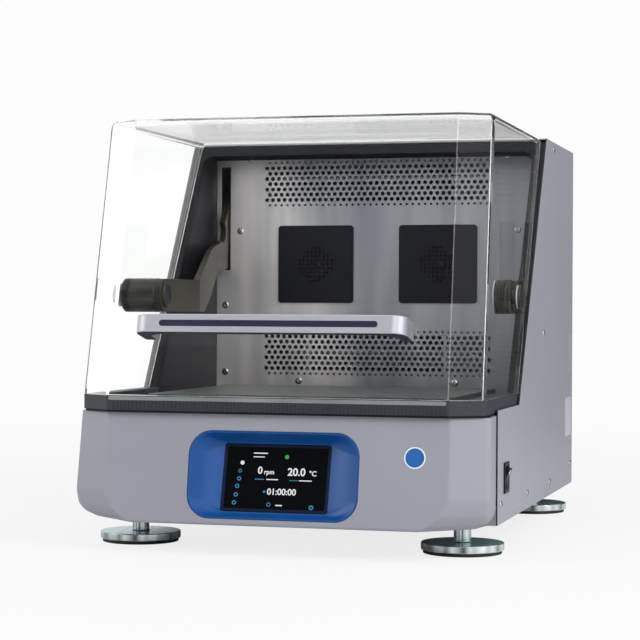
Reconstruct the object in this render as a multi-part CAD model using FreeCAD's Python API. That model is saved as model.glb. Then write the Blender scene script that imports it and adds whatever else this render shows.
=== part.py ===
import FreeCAD, Part
import math
import os

# Incubated benchtop shaker: painted casing, clear tilting hood and an orbiting platform.
# Millimetres. +X is the right-hand side seen from the front, +Y runs to the back, +Z is up.
# The origin is on the table, under the middle of the whole object.
# Depths are measured backwards from the top front edge of the bezel.

# Casing
casing_width = 430.0
casing_depth = 591.7
casing_top = 447.4
underside = 30.7
sheet = 1.5
sheet_fit = 0.2
ledge_height = 146.9
slant_foot = 193.0
slant_head = 374.0
return_flange = 9.0
pan_flange = 20.0
rear_inset = 3.0
overrun = 5.0
far = 900.0

# Front bezel. Each level: height, front fold's inset from the casing's side and its depth, side fold's
# inset and depth, inset at the seam
bezel_depth = 64.0
bezel_top = 141.9
bezel_wall = 3.0
bezel_bend = 5.0
bezel_levels = (
    (bezel_top, 35.6, 0.0, -1.6, 19.4, 1.8),
    (60.0, 35.0, -12.3, -3.4, 7.4, 1.8),
    (46.0, 44.0, -14.4, -1.3, 9.0, 2.0),
    (38.0, 54.0, -15.6, 4.0, 15.0, 4.0),
    (underside, 65.0, -16.8, 16.0, 26.0, 8.0),
)

# Chamber tub, liner and back wall
tub_side_gap = 10.0
tub_front = 10.0
tub_across = 35.0
tub_back = 18.0
tub_bend = 5.0
tub_flange_over = 4.5
tub_flange_front = 4.0
tub_floor = 126.5
wall_behind_platform = 77.0
ceiling_drop = 7.4
wall_side_gap = 0.3

# Rim under the hood and seal round the chamber opening
rim_top = 159.0
rim_reach = 6.3
rim_side_inset = 3.0
rim_across = 33.6
rim_back = 19.8
rim_bend = 6.0
rim_width = 16.0
rib_pitch = 4.2
rib_width = 2.0
rib_proud = 0.7
rib_height = 10.5
rib_end_gap = 4.4
seal_thickness = 10.0
seal_over_chamber = 3.5
seal_corner = 12.0
seal_top_drop = 4.4
seal_top_band = 12.8
seal_foot_drop = 5.0
rest_gap = 0.3

# Perforations of the back wall
hole_pitch = 7.5
row_pitch = 6.5
hole_radius = 2.45
small_hole_radius = 1.5
field_side_margin = 64.0
upper_field_drop = 38.5
rows_each_side = 4
hole_margin = 1.0

# Slots for the hood arms
left_slot_width = 11.5
right_slot_width = 10.0
slot_below_pivot = 113.5
slot_above_pivot = 13.5

# Fans behind the back wall
fan_spacing = 152.0
fan_height = 303.0
fan_inlet_radius = 29.0
grille_width = 95.0
grille_height = 94.5
grille_corner = 4.0
grille_thickness = 2.0
grille_hole_radius = 1.5
grille_hole_pitch = 5.0
grille_field_radius = 21.0
wheel_radius = 36.0
wheel_depth = 22.0
wheel_gap = 4.0
wheel_hub_radius = 14.0
wheel_plate = 2.0
wheel_ring = 4.0
blade_count = 16
blade_thickness = 1.5
fan_plate_size = 92.0
fan_plate = 2.0
fan_post_radius = 4.0
fan_post_inset = 7.0
fan_can_radius = 26.0
fan_can_length = 38.0
fan_shaft_radius = 3.0
running_fit = 0.05

# Heater
heater_radius = 4.0
heater_half_length = 110.0
heater_run_gap = 16.0
heater_runs = 3
heater_height = 195.0
heater_standoff = 18.0
heater_clip = 3.0
heater_clip_place = 85.0
heater_clip_margin = 8.0

# Display
display_half_width = 89.0
display_low = 37.6
display_high = 125.1
display_corner = 24.0
display_border = 2.0
display_shell = 4.0
display_gap = 0.3
screen_half_width = 56.3
screen_length = 70.0
screen_corner = 3.0
screen_recess = 13.0
screen_drop = 1.5
screen_tilt = 6.9
screen_sink = 0.5
well_reach = 1.0
glass_thickness = 4.0
glass_gap = 0.25
module_margin = 4.0
module_thickness = 9.0

# Power switch
switch_depth_place = 110.0
switch_height_place = 76.0
switch_width = 26.0
switch_length = 32.0
switch_flange = 2.0
switch_body_inset = 2.0
switch_body_depth = 19.0
rocker_width = 16.0
rocker_half_length = 10.6
rocker_side_gap = 0.5
rocker_end_gap = 1.4
rocker_tilt = 8.0
rocker_pivot_inset = 4.0
rocker_reach = 4.5
rocker_dip = 2.2
rocker_root = 6.0
rocker_root_half = 7.0
rocker_pin_radius = 1.5
rocker_pin_length = 1.5
rocker_cavity_depth = 12.0

# Mains inlet
inlet_x = 140.0
inlet_height = 78.0
inlet_flange_width = 48.0
inlet_flange_height = 27.0
inlet_flange = 2.0
inlet_body_width = 29.0
inlet_body_height = 21.5
inlet_body_depth = 25.0
inlet_socket_width = 24.5
inlet_socket_height = 17.0
inlet_socket_depth = 20.0
inlet_pin_width = 2.0
inlet_pin_height = 4.0
inlet_pin_length = 11.0
inlet_pin_spacing = 7.0
inlet_earth_rise = 3.0
cutout_gap = 0.3

# Rear panel vents
vent_count = 14
vent_pitch = 12.0
vent_width = 4.0
vent_length = 60.0
vent_heights = (120.0, 360.0)

# Hood
hood_above_casing = 1.0
hood_wall = 4.0
hood_lean = 64.9
hood_taper = 4.0
hood_bend = 7.0
hood_inner_bend = 3.5
hood_top_bend = 8.0
hood_inner_top_bend = 4.5
hood_tail = 40.0

# Hood handle
handle_height_place = 225.0
handle_side_gap = 37.9
handle_proud = 40.5
handle_bar = 10.0
handle_leg = 12.0
handle_height = 19.0
handle_outer_corner = 14.5
handle_inner_corner = 20.0
handle_edge = 1.5
inlay_end_gap = 27.5
inlay_height = 6.5
inlay_depth = 2.0
inlay_fit = 0.1
inlay_round_share = 0.96
handle_screw_radius = 2.5
handle_screw_head = 5.0
handle_screw_head_height = 3.0
handle_screw_length = 18.0
handle_screw_fit = 0.3

# Hood arms
arm_thickness = 7.0
left_arm_inset = 23.5
right_arm_inset = 19.0
arm_height = 36.0
arm_axis_height = 262.3
left_boss_inset = 51.0
left_boss_depth = 121.0
right_boss_depth = 196.2
arm_bend_radius = 14.0
notch_radius = 14.1
pivot_behind_wall = 33.5
pivot_drop = 30.5
eye_radius = 14.0
spacer_radius = 18.4
spacer_groove = 1.0
spacer_groove_width = 2.0
spacer_rim = 3.0
arm_gap = 0.2
bolt_radius = 5.0
left_boss_radius = 13.5
left_boss_height = 2.5
right_boss_radius = 18.4
right_boss_height = 5.5
cap_radius = 12.5
cap_height = 6.0
cap_stub_radius = 8.0

# Outline of the arms' rear ends: distance in front of the back wall, and for a point also below the pivot
left_joggle_start = 190.0
left_joggle_end = 50.0
left_knee_top = 195.0
left_knee_under = 149.0
left_shoulder_top = (96.0, 93.9)
left_shoulder_under = (94.5, 147.0)
right_knee_top = 116.0
right_knee_under = 92.0
right_shoulder_top = (69.4, 93.1)
right_shoulder_under = (69.0, 146.8)
arm_crest = (37.0, 82.5)
arm_belly = (30.0, 115.5)
arm_heel = (4.0, 111.5)
arm_back = (-5.0, 59.5)
arm_throat = (14.0, 52.5)
notch_centre = (25.8, 66.7)

# Hinge behind the back wall
hinge_shaft_radius = 8.0
hinge_shaft_over = 2.0
bracket_inset = 50.0
bracket_thickness = 10.0
bracket_eye_radius = 15.0
bracket_foot_half_width = 16.0
bracket_foot_thickness = 3.0
bracket_foot_half_height = 26.0

# Platform and its carriage
platform_side_gap = 42.0
platform_length = 279.0
platform_front = 69.0
platform_top = 157.6
platform_thickness = 5.0
platform_corner = 4.0
clamp_pitch = 50.0
clamp_margin = 20.0
clamp_hole_radius = 2.5
orbit_radius = 9.5
carriage_side_inset = 23.5
carriage_end_inset = 27.5
carriage_corner = 14.0
carriage_plate = 6.0
carriage_boss_drop = 9.1
carriage_boss_radius = 18.0
idler_boss_radius = 16.0
window_near = 30.0
window_from_idler = 29.0
window_front_margin = 67.0
window_rear_margin = 36.0
window_corner = 8.0
pin_cover = 2.2
pin_fit = 0.1
deck_screw_shares = ((0.435, -0.67), (0.725, 0.67))
deck_screw_radius = 3.0
deck_screw_head = 5.0
deck_screw_head_height = 3.0
deck_screw_length = 9.0

# Drive
shaft_radius = 10.0
shaft_bottom = 40.0
crank_disc_radius = 27.0
crank_disc = 6.0
crank_lift = 1.5
crank_pin_radius = 8.0
crank_pin_top = 150.0
housing_radius = 34.0
housing_bottom = 76.0
housing_flange_radius = 55.0
housing_flange = 6.0
bearing_radius = 21.0
bearing_height = 12.0
bearing_inset = 2.0
pulley_bottom = 44.0
pulley_height = 12.0
driven_radius = 60.0
driven_hub_radius = 18.0
driven_web = 5.0
driven_rim = 6.0
driver_radius = 20.0
belt_thickness = 3.0
belt_width = 9.0
belt_gap = 0.3
weight_bottom = 60.0
weight_height = 12.0
weight_radius = 66.0
weight_hub_radius = 20.0
motor_spacing = 171.0
motor_radius = 38.0
motor_bottom = 64.0
motor_flange = 45.0
motor_flange_thickness = 4.0
motor_shaft_radius = 6.0
motor_shaft_top = 74.0
idler_inset = 23.0
idler_ahead = 80.0
idler_behind = 100.0
idler_shaft_radius = 7.0
idler_bottom = 98.0
idler_housing_radius = 16.0
idler_flange_radius = 25.0
idler_flange = 3.0
idler_disc_radius = 17.0
idler_disc = 4.0
idler_pin_radius = 6.0

# Electrics on the base pan
board_width = 100.0
board_side_gap = 23.5
board_front = 120.0
board_rear = 240.0
board_lift = 10.0
board_thickness = 1.6
board_post_radius = 3.0
board_post_inset = 8.0
board_part_shares = ((0.2, 0.25), (0.55, 0.3), (0.4, 0.7))
board_part_sizes = (18.0, 26.0, 40.0)
board_part_heights = (22.0, 12.0, 16.0)
supply_width = 90.0
supply_side_gap = 63.5
supply_front = 425.0
supply_rear = 560.0
supply_height = 50.0
supply_corner = 3.0

# Feet
foot_inset = 40.0
foot_depths = (85.6, 520.0)
foot_radius = 42.6
foot_disc = 7.7
foot_edge = 1.0
pad_radius = 40.5
pad_height = 3.5
stem_radius = 9.0
stud_radius = 6.0
stud_top = 62.0
foot_gap = 0.2
stud_fit = 0.1
nut_radius = 12.0
nut_height = 18.0
pan_hole_radius = 7.5

# Screws: shares of the casing's depth and height on the side panels, and of the chamber's half width
# and height on the back wall
panel_screw_shares = ((0.6, 0.496), (0.723, 0.979), (0.419, 0.106), (0.688, 0.1035), (0.14, 0.112), (0.97, 0.125))
wall_screw_shares = ((0.85, 0.694), (0.943, 0.403), (0.477, 0.107), (0.943, 0.139), (0.786, 0.978))
screw_head_radius = 3.2
screw_head_height = 1.3

# Sizes that follow from the ones above
V = FreeCAD.Vector
X_AXIS = V(1, 0, 0)
Y_AXIS = V(0, 1, 0)
Z_AXIS = V(0, 0, 1)
half_width = casing_width / 2
panel_inside = half_width - sheet
tub_half_width = half_width - tub_side_gap
tub_flange_half_width = tub_half_width + tub_flange_over
chamber_half_width = tub_half_width - sheet
rim_half_width = half_width - rim_side_inset
rib_field = rim_half_width - rim_across - rib_end_gap
seal_inner = chamber_half_width - seal_over_chamber
field_half_width = chamber_half_width - field_side_margin
handle_half_width = rim_half_width - rim_across - handle_side_gap
inlay_half_length = handle_half_width - inlay_end_gap
left_arm_plane = half_width - left_arm_inset
right_arm_plane = half_width - right_arm_inset
left_boss_plane = half_width - left_boss_inset
bracket_place = half_width - bracket_inset
platform_half_width = chamber_half_width - platform_side_gap
carriage_half_width = platform_half_width - carriage_side_inset
carriage_half_length = platform_length / 2 - carriage_end_inset
idler_spread = carriage_half_width - idler_inset
window_away = idler_spread - window_from_idler
window_front = window_front_margin - carriage_half_length
window_rear = carriage_half_length - window_rear_margin
board_far = panel_inside - board_side_gap
board_near = board_far - board_width
supply_far = panel_inside - supply_side_gap
supply_near = supply_far - supply_width
foot_x = half_width - foot_inset
rear_face = casing_depth - rear_inset
rear_inside = rear_face - sheet
ceiling_height = casing_top - ceiling_drop
seal_top = casing_top - seal_top_drop
hood_top = casing_top + hood_above_casing
wall_front = platform_front + platform_length + wall_behind_platform
wall_back = wall_front + sheet
pivot_depth = wall_back + pivot_behind_wall
pivot_height = ceiling_height - pivot_drop
slot_low = pivot_height - slot_below_pivot
slot_high = pivot_height + slot_above_pivot
hood_rise = hood_top - rim_top
hood_angle = math.atan2(hood_lean, hood_rise)
hood_out = V(0, -math.cos(hood_angle), math.sin(hood_angle))
hood_up = V(0, math.sin(hood_angle), math.cos(hood_angle))
lean_top, lean_foot = bezel_levels[0], bezel_levels[1]
bezel_angle = math.atan2(lean_top[2] - lean_foot[2], lean_top[0] - lean_foot[0])
bezel_out = V(0, -math.cos(bezel_angle), math.sin(bezel_angle))
bezel_up = V(0, math.sin(bezel_angle), math.cos(bezel_angle))
slant_run = slant_head - slant_foot
slant_rise = casing_top - ledge_height
slant_length = math.hypot(slant_run, slant_rise)
slant_up = V(0, slant_run / slant_length, slant_rise / slant_length)
slant_in = V(0, slant_rise / slant_length, -slant_run / slant_length)
spindle_depth = platform_front + platform_length / 2 - orbit_radius
platform_depth = spindle_depth + orbit_radius
motor_depth = spindle_depth + motor_spacing
idler_places = ((-idler_spread, -idler_ahead), (idler_spread, -idler_ahead), (0, idler_behind))
carriage_top = platform_top - platform_thickness
tub_top = tub_floor + sheet


def hood_front_depth(z):
    """Depth of the hood's front surface at a height."""
    return -rim_reach + hood_lean * (z - rim_top) / hood_rise


handle_face_depth = hood_front_depth(handle_height_place) + hood_out.y * handle_proud
handle_nose_depth = handle_face_depth - hood_up.y * handle_height / 2
face_y = -(casing_depth + handle_nose_depth) / 2


def at(depth):
    """Y of a depth measured back from the bezel's top front edge."""
    return face_y + depth


def save(name, shape):
    """One STEP file for each piece."""
    shape.exportStep("parts/" + name + ".step")


def block(x0, x1, depth0, depth1, z0, z1):
    """Box between two corners given as X, depth and Z."""
    return Part.makeBox(x1 - x0, depth1 - depth0, z1 - z0, V(x0, at(depth0), z0))


def upright(radius, x, depth, z0, z1):
    """Round bar along Z."""
    return Part.makeCylinder(radius, z1 - z0, V(x, at(depth), z0), Z_AXIS)


def deepwise(radius, x, depth0, depth1, z):
    """Round bar along Y."""
    return Part.makeCylinder(radius, depth1 - depth0, V(x, at(depth0), z), Y_AXIS)


def crosswise(radius, x0, x1, depth, z):
    """Round bar along X."""
    return Part.makeCylinder(radius, x1 - x0, V(x0, at(depth), z), X_AXIS)


def outline(points, radii, place):
    """Closed wire through flat points; a corner with a radius becomes a tangent arc."""
    count = len(points)
    flat = [V(u, v, 0) for u, v in points]
    corners = []
    for i in range(count):
        here, before, after = flat[i], flat[i - 1], flat[(i + 1) % count]
        radius = radii[i]
        if not radius:
            corners.append((here, None, here))
            continue
        to_before = (before - here).normalize()
        to_after = (after - here).normalize()
        half = to_before.getAngle(to_after) / 2
        reach = radius / math.tan(half)
        inward = (to_before + to_after).normalize()
        middle = here + inward * (radius / math.sin(half) - radius)
        corners.append((here + to_before * reach, middle, here + to_after * reach))
    edges = []
    for i in range(count):
        start, middle, end = corners[i]
        if middle is not None:
            edges.append(Part.Arc(place(start.x, start.y), place(middle.x, middle.y), place(end.x, end.y)).toShape())
        following = corners[(i + 1) % count][0]
        if (following - end).Length > Part.Precision.confusion():
            edges.append(Part.LineSegment(place(end.x, end.y), place(following.x, following.y)).toShape())
    return Part.Wire(edges)


def in_plan(z):
    return lambda x, depth: V(x, at(depth), z)


def in_side(x):
    return lambda depth, z: V(x, at(depth), z)


def in_front(depth):
    return lambda x, z: V(x, at(depth), z)


def slab(wires, along):
    """Flat face from an outer wire and any holes, pulled along a vector."""
    return Part.makeFace(wires, "Part::FaceMakerBullseye").extrude(along)


def side_slab(points, radii, x0, x1):
    """Plate with its outline in the side view, from x0 to x1."""
    return slab([outline(points, radii, in_side(x0))], V(x1 - x0, 0, 0))


def rectangle(half_u, v0, v1):
    return [(-half_u, v0), (half_u, v0), (half_u, v1), (-half_u, v1)]


def fuse(shapes):
    """One solid from touching or overlapping shapes."""
    return shapes[0].multiFuse(shapes[1:]).removeSplitter()


def mirror_x(shape):
    return shape.mirror(V(0, 0, 0), X_AXIS)


def shrink(points, inset):
    """Corners of a counter-clockwise polygon whose edges all move inwards by inset."""
    moved = []
    count = len(points)
    for i in range(count):
        (ax, ay), (bx, by), (cx, cy) = points[i - 1], points[i], points[(i + 1) % count]
        ux, uy = (bx - ax) / math.hypot(bx - ax, by - ay), (by - ay) / math.hypot(bx - ax, by - ay)
        vx, vy = (cx - bx) / math.hypot(cx - bx, cy - by), (cy - by) / math.hypot(cx - bx, cy - by)
        turn = ux * vy - uy * vx
        along = ((ux - vx) * vx + (uy - vy) * vy) / turn
        moved.append((bx + inset * (along * ux - uy), by + inset * (along * uy + ux)))
    return moved


def plan(front_half, front, side_half, side, rear_half, rear, bend, z, inset=0):
    """Plan outline with chamfered front corners, moved in by inset but kept open to the rear."""
    points = [(-side_half, side), (-front_half, front), (front_half, front), (side_half, side),
              (rear_half, rear), (-rear_half, rear)]
    if inset:
        points = shrink(points, inset)
        points[4] = (points[4][0], rear + overrun)
        points[5] = (points[5][0], rear + overrun)
    return outline(points, [bend, bend, bend, bend, 0, 0], in_plan(z))


def behind_slant(shift):
    """All space behind the slanted opening plane, moved back by shift."""
    foot = V(0, at(slant_foot), ledge_height) + slant_in * shift - slant_up * far
    head = V(0, at(slant_foot), ledge_height) + slant_in * shift + slant_up * far
    points = [foot, head, head + slant_in * far, foot + slant_in * far, foot]
    start = V(-far, 0, 0)
    face = Part.Face(Part.makePolygon([p + start for p in points]))
    return face.extrude(V(far + far, 0, 0))


def slant_strip(shift0, shift1, x0, x1, z0, z1):
    """Strip parallel to the slanted plane between two offsets and two heights."""
    band = behind_slant(shift0).cut(behind_slant(shift1))
    return band.common(block(x0, x1, -far, far, z0, z1))


# Casing

def bezel_front(z):
    """Depth of the bezel's front face at a height."""
    return lean_top[2] + (z - lean_top[0]) * math.tan(bezel_angle)


def bezel_block(inset):
    """Body of the bezel, moved inwards by inset."""
    wires = []
    for z, front_inset, front, side_inset, side, seam_inset in bezel_levels:
        height = z + inset if z == underside else z
        if z == bezel_top and inset:
            height = z + overrun
        wires.append(plan(half_width - front_inset, front, half_width - side_inset, side,
                          half_width - seam_inset, bezel_depth, bezel_bend, height, inset))
    return Part.makeLoft(wires, True, True)


def on_bezel(v_centre, z_centre):
    """Flat frame on the leaning bezel face: across, up the face, out of the face."""
    origin = V(0, at(bezel_front(z_centre)), z_centre) + bezel_up * v_centre
    return lambda u, v, n: origin + X_AXIS * u + bezel_up * v + bezel_out * n


display_middle = (display_low + display_high) / 2
display_half_height = (display_high - display_low) / 2 / math.cos(bezel_angle)
display_frame = on_bezel(0, display_middle)
tilt = math.radians(screen_tilt)
screen_up = bezel_up * math.cos(tilt) - bezel_out * math.sin(tilt)
screen_out = bezel_out * math.cos(tilt) + bezel_up * math.sin(tilt)
screen_centre = display_frame(0, -screen_drop, -screen_recess)


def display_outline(grow, n):
    points = rectangle(display_half_width + grow, -display_half_height - grow, display_half_height + grow)
    return outline(points, [display_corner + grow] * 4, lambda u, v: display_frame(u, v, n))


def screen_outline(grow, n):
    """Rounded rectangle on the tilted screen plane, n in front of it."""
    points = rectangle(screen_half_width + grow, -screen_length / 2 - grow, screen_length / 2 + grow)
    origin = screen_centre + screen_out * n
    return outline(points, [screen_corner + max(grow, 0)] * 4, lambda u, v: origin + X_AXIS * u + screen_up * v)


def front_bezel():
    body = bezel_block(0).cut(bezel_block(bezel_wall))
    window = slab([display_outline(display_gap, overrun)], bezel_out * (-overrun - overrun))
    return body.cut(window)


def display_surround():
    body = Part.makeLoft([display_outline(0, 0), screen_outline(display_shell, -display_shell)], True, True)
    dish = Part.makeLoft([display_outline(-display_border, 0), screen_outline(0, 0)], True, True)
    well = slab([screen_outline(0, well_reach)], screen_out * (-overrun - display_shell))
    return body.cut(dish).cut(well)


def touch_screen():
    glass = slab([screen_outline(-glass_gap, -screen_sink)], screen_out * -glass_thickness)
    module = slab([screen_outline(-module_margin, -screen_sink - glass_thickness)], screen_out * -module_thickness)
    return fuse([glass, module])


def side_panel(side):
    points = [(bezel_depth, underside), (casing_depth, underside), (casing_depth, casing_top),
              (slant_head, casing_top), (slant_foot, ledge_height), (bezel_depth, ledge_height)]
    panel = side_slab(points, [0] * 6, panel_inside, half_width)
    flange = slant_strip(seal_thickness, seal_thickness + sheet, panel_inside - return_flange,
                         panel_inside, ledge_height, casing_top - sheet - sheet_fit)
    panel = fuse([panel, flange])
    if side < 0:
        return mirror_x(panel)
    half_w = switch_width / 2 - switch_body_inset + cutout_gap
    half_l = switch_length / 2 - switch_body_inset + cutout_gap
    cutout = block(panel_inside - overrun, half_width + overrun, switch_depth_place - half_w,
                   switch_depth_place + half_w, switch_height_place - half_l, switch_height_place + half_l)
    return panel.cut(cutout)


def base_pan():
    half = panel_inside - sheet_fit
    front = bezel_depth + sheet_fit
    rear = rear_inside - sheet_fit
    pan = block(-half, half, front, rear, underside, underside + pan_flange)
    pan = pan.cut(block(-half + sheet, half - sheet, front + sheet, rear - sheet, underside + sheet, casing_top))
    for x, depth in foot_places():
        pan = pan.cut(upright(pan_hole_radius, x, depth, underside - overrun, underside + overrun))
    return pan


def rear_panel():
    inside = panel_inside - sheet_fit
    panel = block(-inside, inside, rear_inside, rear_face, underside, casing_top - sheet - sheet_fit)
    tools = []
    for z in vent_heights:
        for i in range(vent_count):
            x = (i - (vent_count - 1) / 2) * vent_pitch
            if abs(x - inlet_x) < inlet_flange_width and z < inlet_height + vent_length:
                continue
            tools.append(block(x - vent_width / 2, x + vent_width / 2, rear_inside - overrun,
                               rear_face + overrun, z - vent_length / 2, z + vent_length / 2))
    half_w = inlet_body_width / 2 + cutout_gap
    half_h = inlet_body_height / 2 + cutout_gap
    tools.append(block(inlet_x - half_w, inlet_x + half_w, rear_inside - overrun, rear_face + overrun,
                       inlet_height - half_h, inlet_height + half_h))
    return panel.cut(Part.makeCompound(tools))


def top_cover():
    inside = panel_inside - sheet_fit
    cover = block(-inside, inside, slant_head - overrun, rear_face, casing_top - sheet, casing_top)
    cover = cover.common(behind_slant(0))
    reach = panel_inside - return_flange - sheet_fit
    flange = slant_strip(seal_thickness, seal_thickness + sheet, -reach, reach,
                         ceiling_height - return_flange, casing_top - sheet)
    return fuse([cover, flange])


def tub_plan(inset, z0, z1):
    wire = plan(tub_half_width - tub_across, tub_front, tub_half_width, tub_front + tub_back, tub_half_width,
                wall_front, tub_bend, z0, inset)
    return slab([wire], V(0, 0, z1 - z0))


def chamber_tub():
    flange = plan(tub_flange_half_width - tub_across, tub_flange_front, tub_flange_half_width,
                  tub_flange_front + tub_back, tub_flange_half_width, wall_front, tub_bend, bezel_top - sheet)
    tub = tub_plan(0, tub_floor, bezel_top).fuse(slab([flange], V(0, 0, sheet)))
    tub = tub.cut(tub_plan(sheet, tub_top, bezel_top + overrun))
    tub = tub.cut(upright(bearing_radius + running_fit, 0, spindle_depth, tub_floor - overrun, tub_top + overrun))
    for x, shift in idler_places:
        tub = tub.cut(upright(idler_shaft_radius + sheet, x, spindle_depth + shift, tub_floor - overrun,
                              tub_top + overrun))
    return tub.removeSplitter()


def chamber_liner():
    inner = tub_half_width - sheet
    skin = block(-tub_half_width, tub_half_width, slant_foot, wall_front, bezel_top, ceiling_height + sheet)
    skin = skin.cut(block(-inner, inner, slant_foot - overrun, wall_front + overrun,
                          bezel_top - overrun, ceiling_height))
    return skin.common(behind_slant(seal_thickness + sheet))


def on_bare_wall(x, z):
    """True where a hole clears the fan grilles, the ceiling and the chamber's floor."""
    keep = hole_radius + hole_margin
    beside = abs(abs(x) - fan_spacing / 2) > grille_width / 2 + keep
    past = abs(z - fan_height) > grille_height / 2 + keep
    return (beside or past) and tub_top + keep < z < ceiling_height - wall_side_gap - keep


def perforations():
    """Hole wires of the two perforated fields, a small-holed row at each edge of a field."""
    wires = []
    columns = int(field_half_width / hole_pitch) + 1
    for middle in (heater_height, ceiling_height - upper_field_drop):
        for row in range(-rows_each_side, rows_each_side + 1):
            radius = small_hole_radius if abs(row) == rows_each_side else hole_radius
            offset = hole_pitch / 2 if row % 2 else 0
            z = middle + row * row_pitch
            for column in range(-columns, columns + 1):
                x = column * hole_pitch + offset
                if abs(x) > field_half_width or not on_bare_wall(x, z):
                    continue
                wires.append(Part.Wire(Part.makeCircle(radius, V(x, at(wall_front), z), Y_AXIS)))
    return wires


def back_wall():
    half = chamber_half_width - wall_side_gap
    wires = [outline(rectangle(half, tub_floor, ceiling_height - wall_side_gap), [0] * 4, in_front(wall_front))]
    wires += perforations()
    for middle, width in ((-left_arm_plane, left_slot_width), (right_arm_plane, right_slot_width)):
        x0 = middle - width / 2
        x1 = middle + width / 2
        slot = [(x0, slot_low), (x1, slot_low), (x1, slot_high), (x0, slot_high)]
        wires.append(outline(slot, [0] * 4, in_front(wall_front)))
    for side in (-1, 1):
        centre = V(side * fan_spacing / 2, at(wall_front), fan_height)
        wires.append(Part.Wire(Part.makeCircle(fan_inlet_radius, centre, Y_AXIS)))
    return slab(wires, V(0, sheet, 0))


def rim_plan(rear, z, inset=0):
    return plan(rim_half_width - rim_across, -rim_reach, rim_half_width, rim_back - rim_reach, rim_half_width,
                rear, rim_bend, z, inset)


def rim():
    """Ribbed rim that the hood stands on, open at the back."""
    rear = slant_foot + seal_thickness + rim_width
    body = slab([rim_plan(rear, bezel_top)], V(0, 0, rim_top - bezel_top))
    body = body.cut(slab([rim_plan(rear, bezel_top - overrun, rim_width)], V(0, 0, rim_top)))
    body = body.cut(behind_slant(-rest_gap))
    ribs = []
    middle = (bezel_top + rim_top) / 2
    count = int(rib_field / rib_pitch)
    for i in range(-count, count + 1):
        x = i * rib_pitch
        ribs.append(block(x - rib_width / 2, x + rib_width / 2, -rim_reach - rib_proud, -rim_reach + rib_proud,
                          middle - rib_height / 2, middle + rib_height / 2))
    return body.multiFuse(ribs)


def opening_seal():
    """Seal on the slanted plane: two legs and a top bar in one piece."""
    outer_half = panel_inside - sheet_fit
    top = (seal_top - ledge_height) / slant_up.z
    inner_top = top - seal_top_band
    origin = V(0, at(slant_foot), ledge_height)
    points = [(-outer_half, -seal_foot_drop), (-seal_inner, -seal_foot_drop), (-seal_inner, inner_top),
              (seal_inner, inner_top), (seal_inner, -seal_foot_drop), (outer_half, -seal_foot_drop),
              (outer_half, top), (-outer_half, top)]
    radii = [0, 0, seal_corner, seal_corner, 0, 0, 0, 0]
    wire = outline(points, radii, lambda u, v: origin + X_AXIS * u + slant_up * v)
    seal = slab([wire], slant_in * seal_thickness)
    return seal.cut(block(-far, far, -far, far, 0, bezel_top + sheet_fit))


# Fans and heater behind the back wall

def fan_grille(side):
    x = side * fan_spacing / 2
    depth = wall_front - grille_thickness
    half_w = grille_width / 2
    half_h = grille_height / 2
    points = [(x - half_w, fan_height - half_h), (x + half_w, fan_height - half_h),
              (x + half_w, fan_height + half_h), (x - half_w, fan_height + half_h)]
    wires = [outline(points, [grille_corner] * 4, in_front(depth))]
    reach = int(grille_field_radius / grille_hole_pitch)
    for i in range(-reach, reach + 1):
        for j in range(-reach, reach + 1):
            across = i * grille_hole_pitch
            up = j * grille_hole_pitch
            if math.hypot(across, up) > grille_field_radius:
                continue
            centre = V(x + across, at(depth), fan_height + up)
            wires.append(Part.Wire(Part.makeCircle(grille_hole_radius, centre, Y_AXIS)))
    return slab(wires, V(0, grille_thickness, 0))


wheel_front = wall_back + wheel_gap
wheel_rear = wheel_front + wheel_depth
fan_plate_depth = wheel_rear + wheel_gap


def fan_wheel(side):
    """Radial wheel: hub and plate at the back, blades, and a ring at the front."""
    x = side * fan_spacing / 2
    plate = deepwise(wheel_radius, x, wheel_rear - wheel_plate, wheel_rear, fan_height)
    hub = deepwise(wheel_hub_radius, x, wheel_front + wheel_gap, wheel_rear, fan_height)
    ring = deepwise(wheel_radius, x, wheel_front, wheel_front + wheel_plate, fan_height)
    ring = ring.cut(deepwise(wheel_radius - wheel_ring, x, wheel_front - overrun, wheel_rear, fan_height))
    blades = []
    for i in range(blade_count):
        blade = block(x + wheel_radius - wheel_ring - wheel_ring, x + wheel_radius - blade_thickness,
                      wheel_front, wheel_rear, fan_height - blade_thickness / 2, fan_height + blade_thickness / 2)
        blade.rotate(V(x, at(wheel_front), fan_height), Y_AXIS, math.degrees(2 * math.pi * i / blade_count))
        blades.append(blade)
    wheel = fuse([plate, hub, ring] + blades)
    return wheel.cut(deepwise(fan_shaft_radius + running_fit, x, wheel_front, wheel_rear + overrun, fan_height))


def fan_motor(side):
    """Motor can on a plate that four posts hold off the back wall."""
    x = side * fan_spacing / 2
    half = fan_plate_size / 2
    pieces = [block(x - half, x + half, fan_plate_depth, fan_plate_depth + fan_plate,
                    fan_height - half, fan_height + half)]
    post = half - fan_post_inset
    for a in (-1, 1):
        for b in (-1, 1):
            pieces.append(deepwise(fan_post_radius, x + a * post, wall_back, fan_plate_depth, fan_height + b * post))
    can_front = fan_plate_depth + fan_plate
    pieces.append(deepwise(fan_can_radius, x, can_front, can_front + fan_can_length, fan_height))
    pieces.append(deepwise(fan_shaft_radius, x, wheel_front + wheel_gap + wheel_gap, can_front, fan_height))
    return fuse(pieces)


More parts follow.
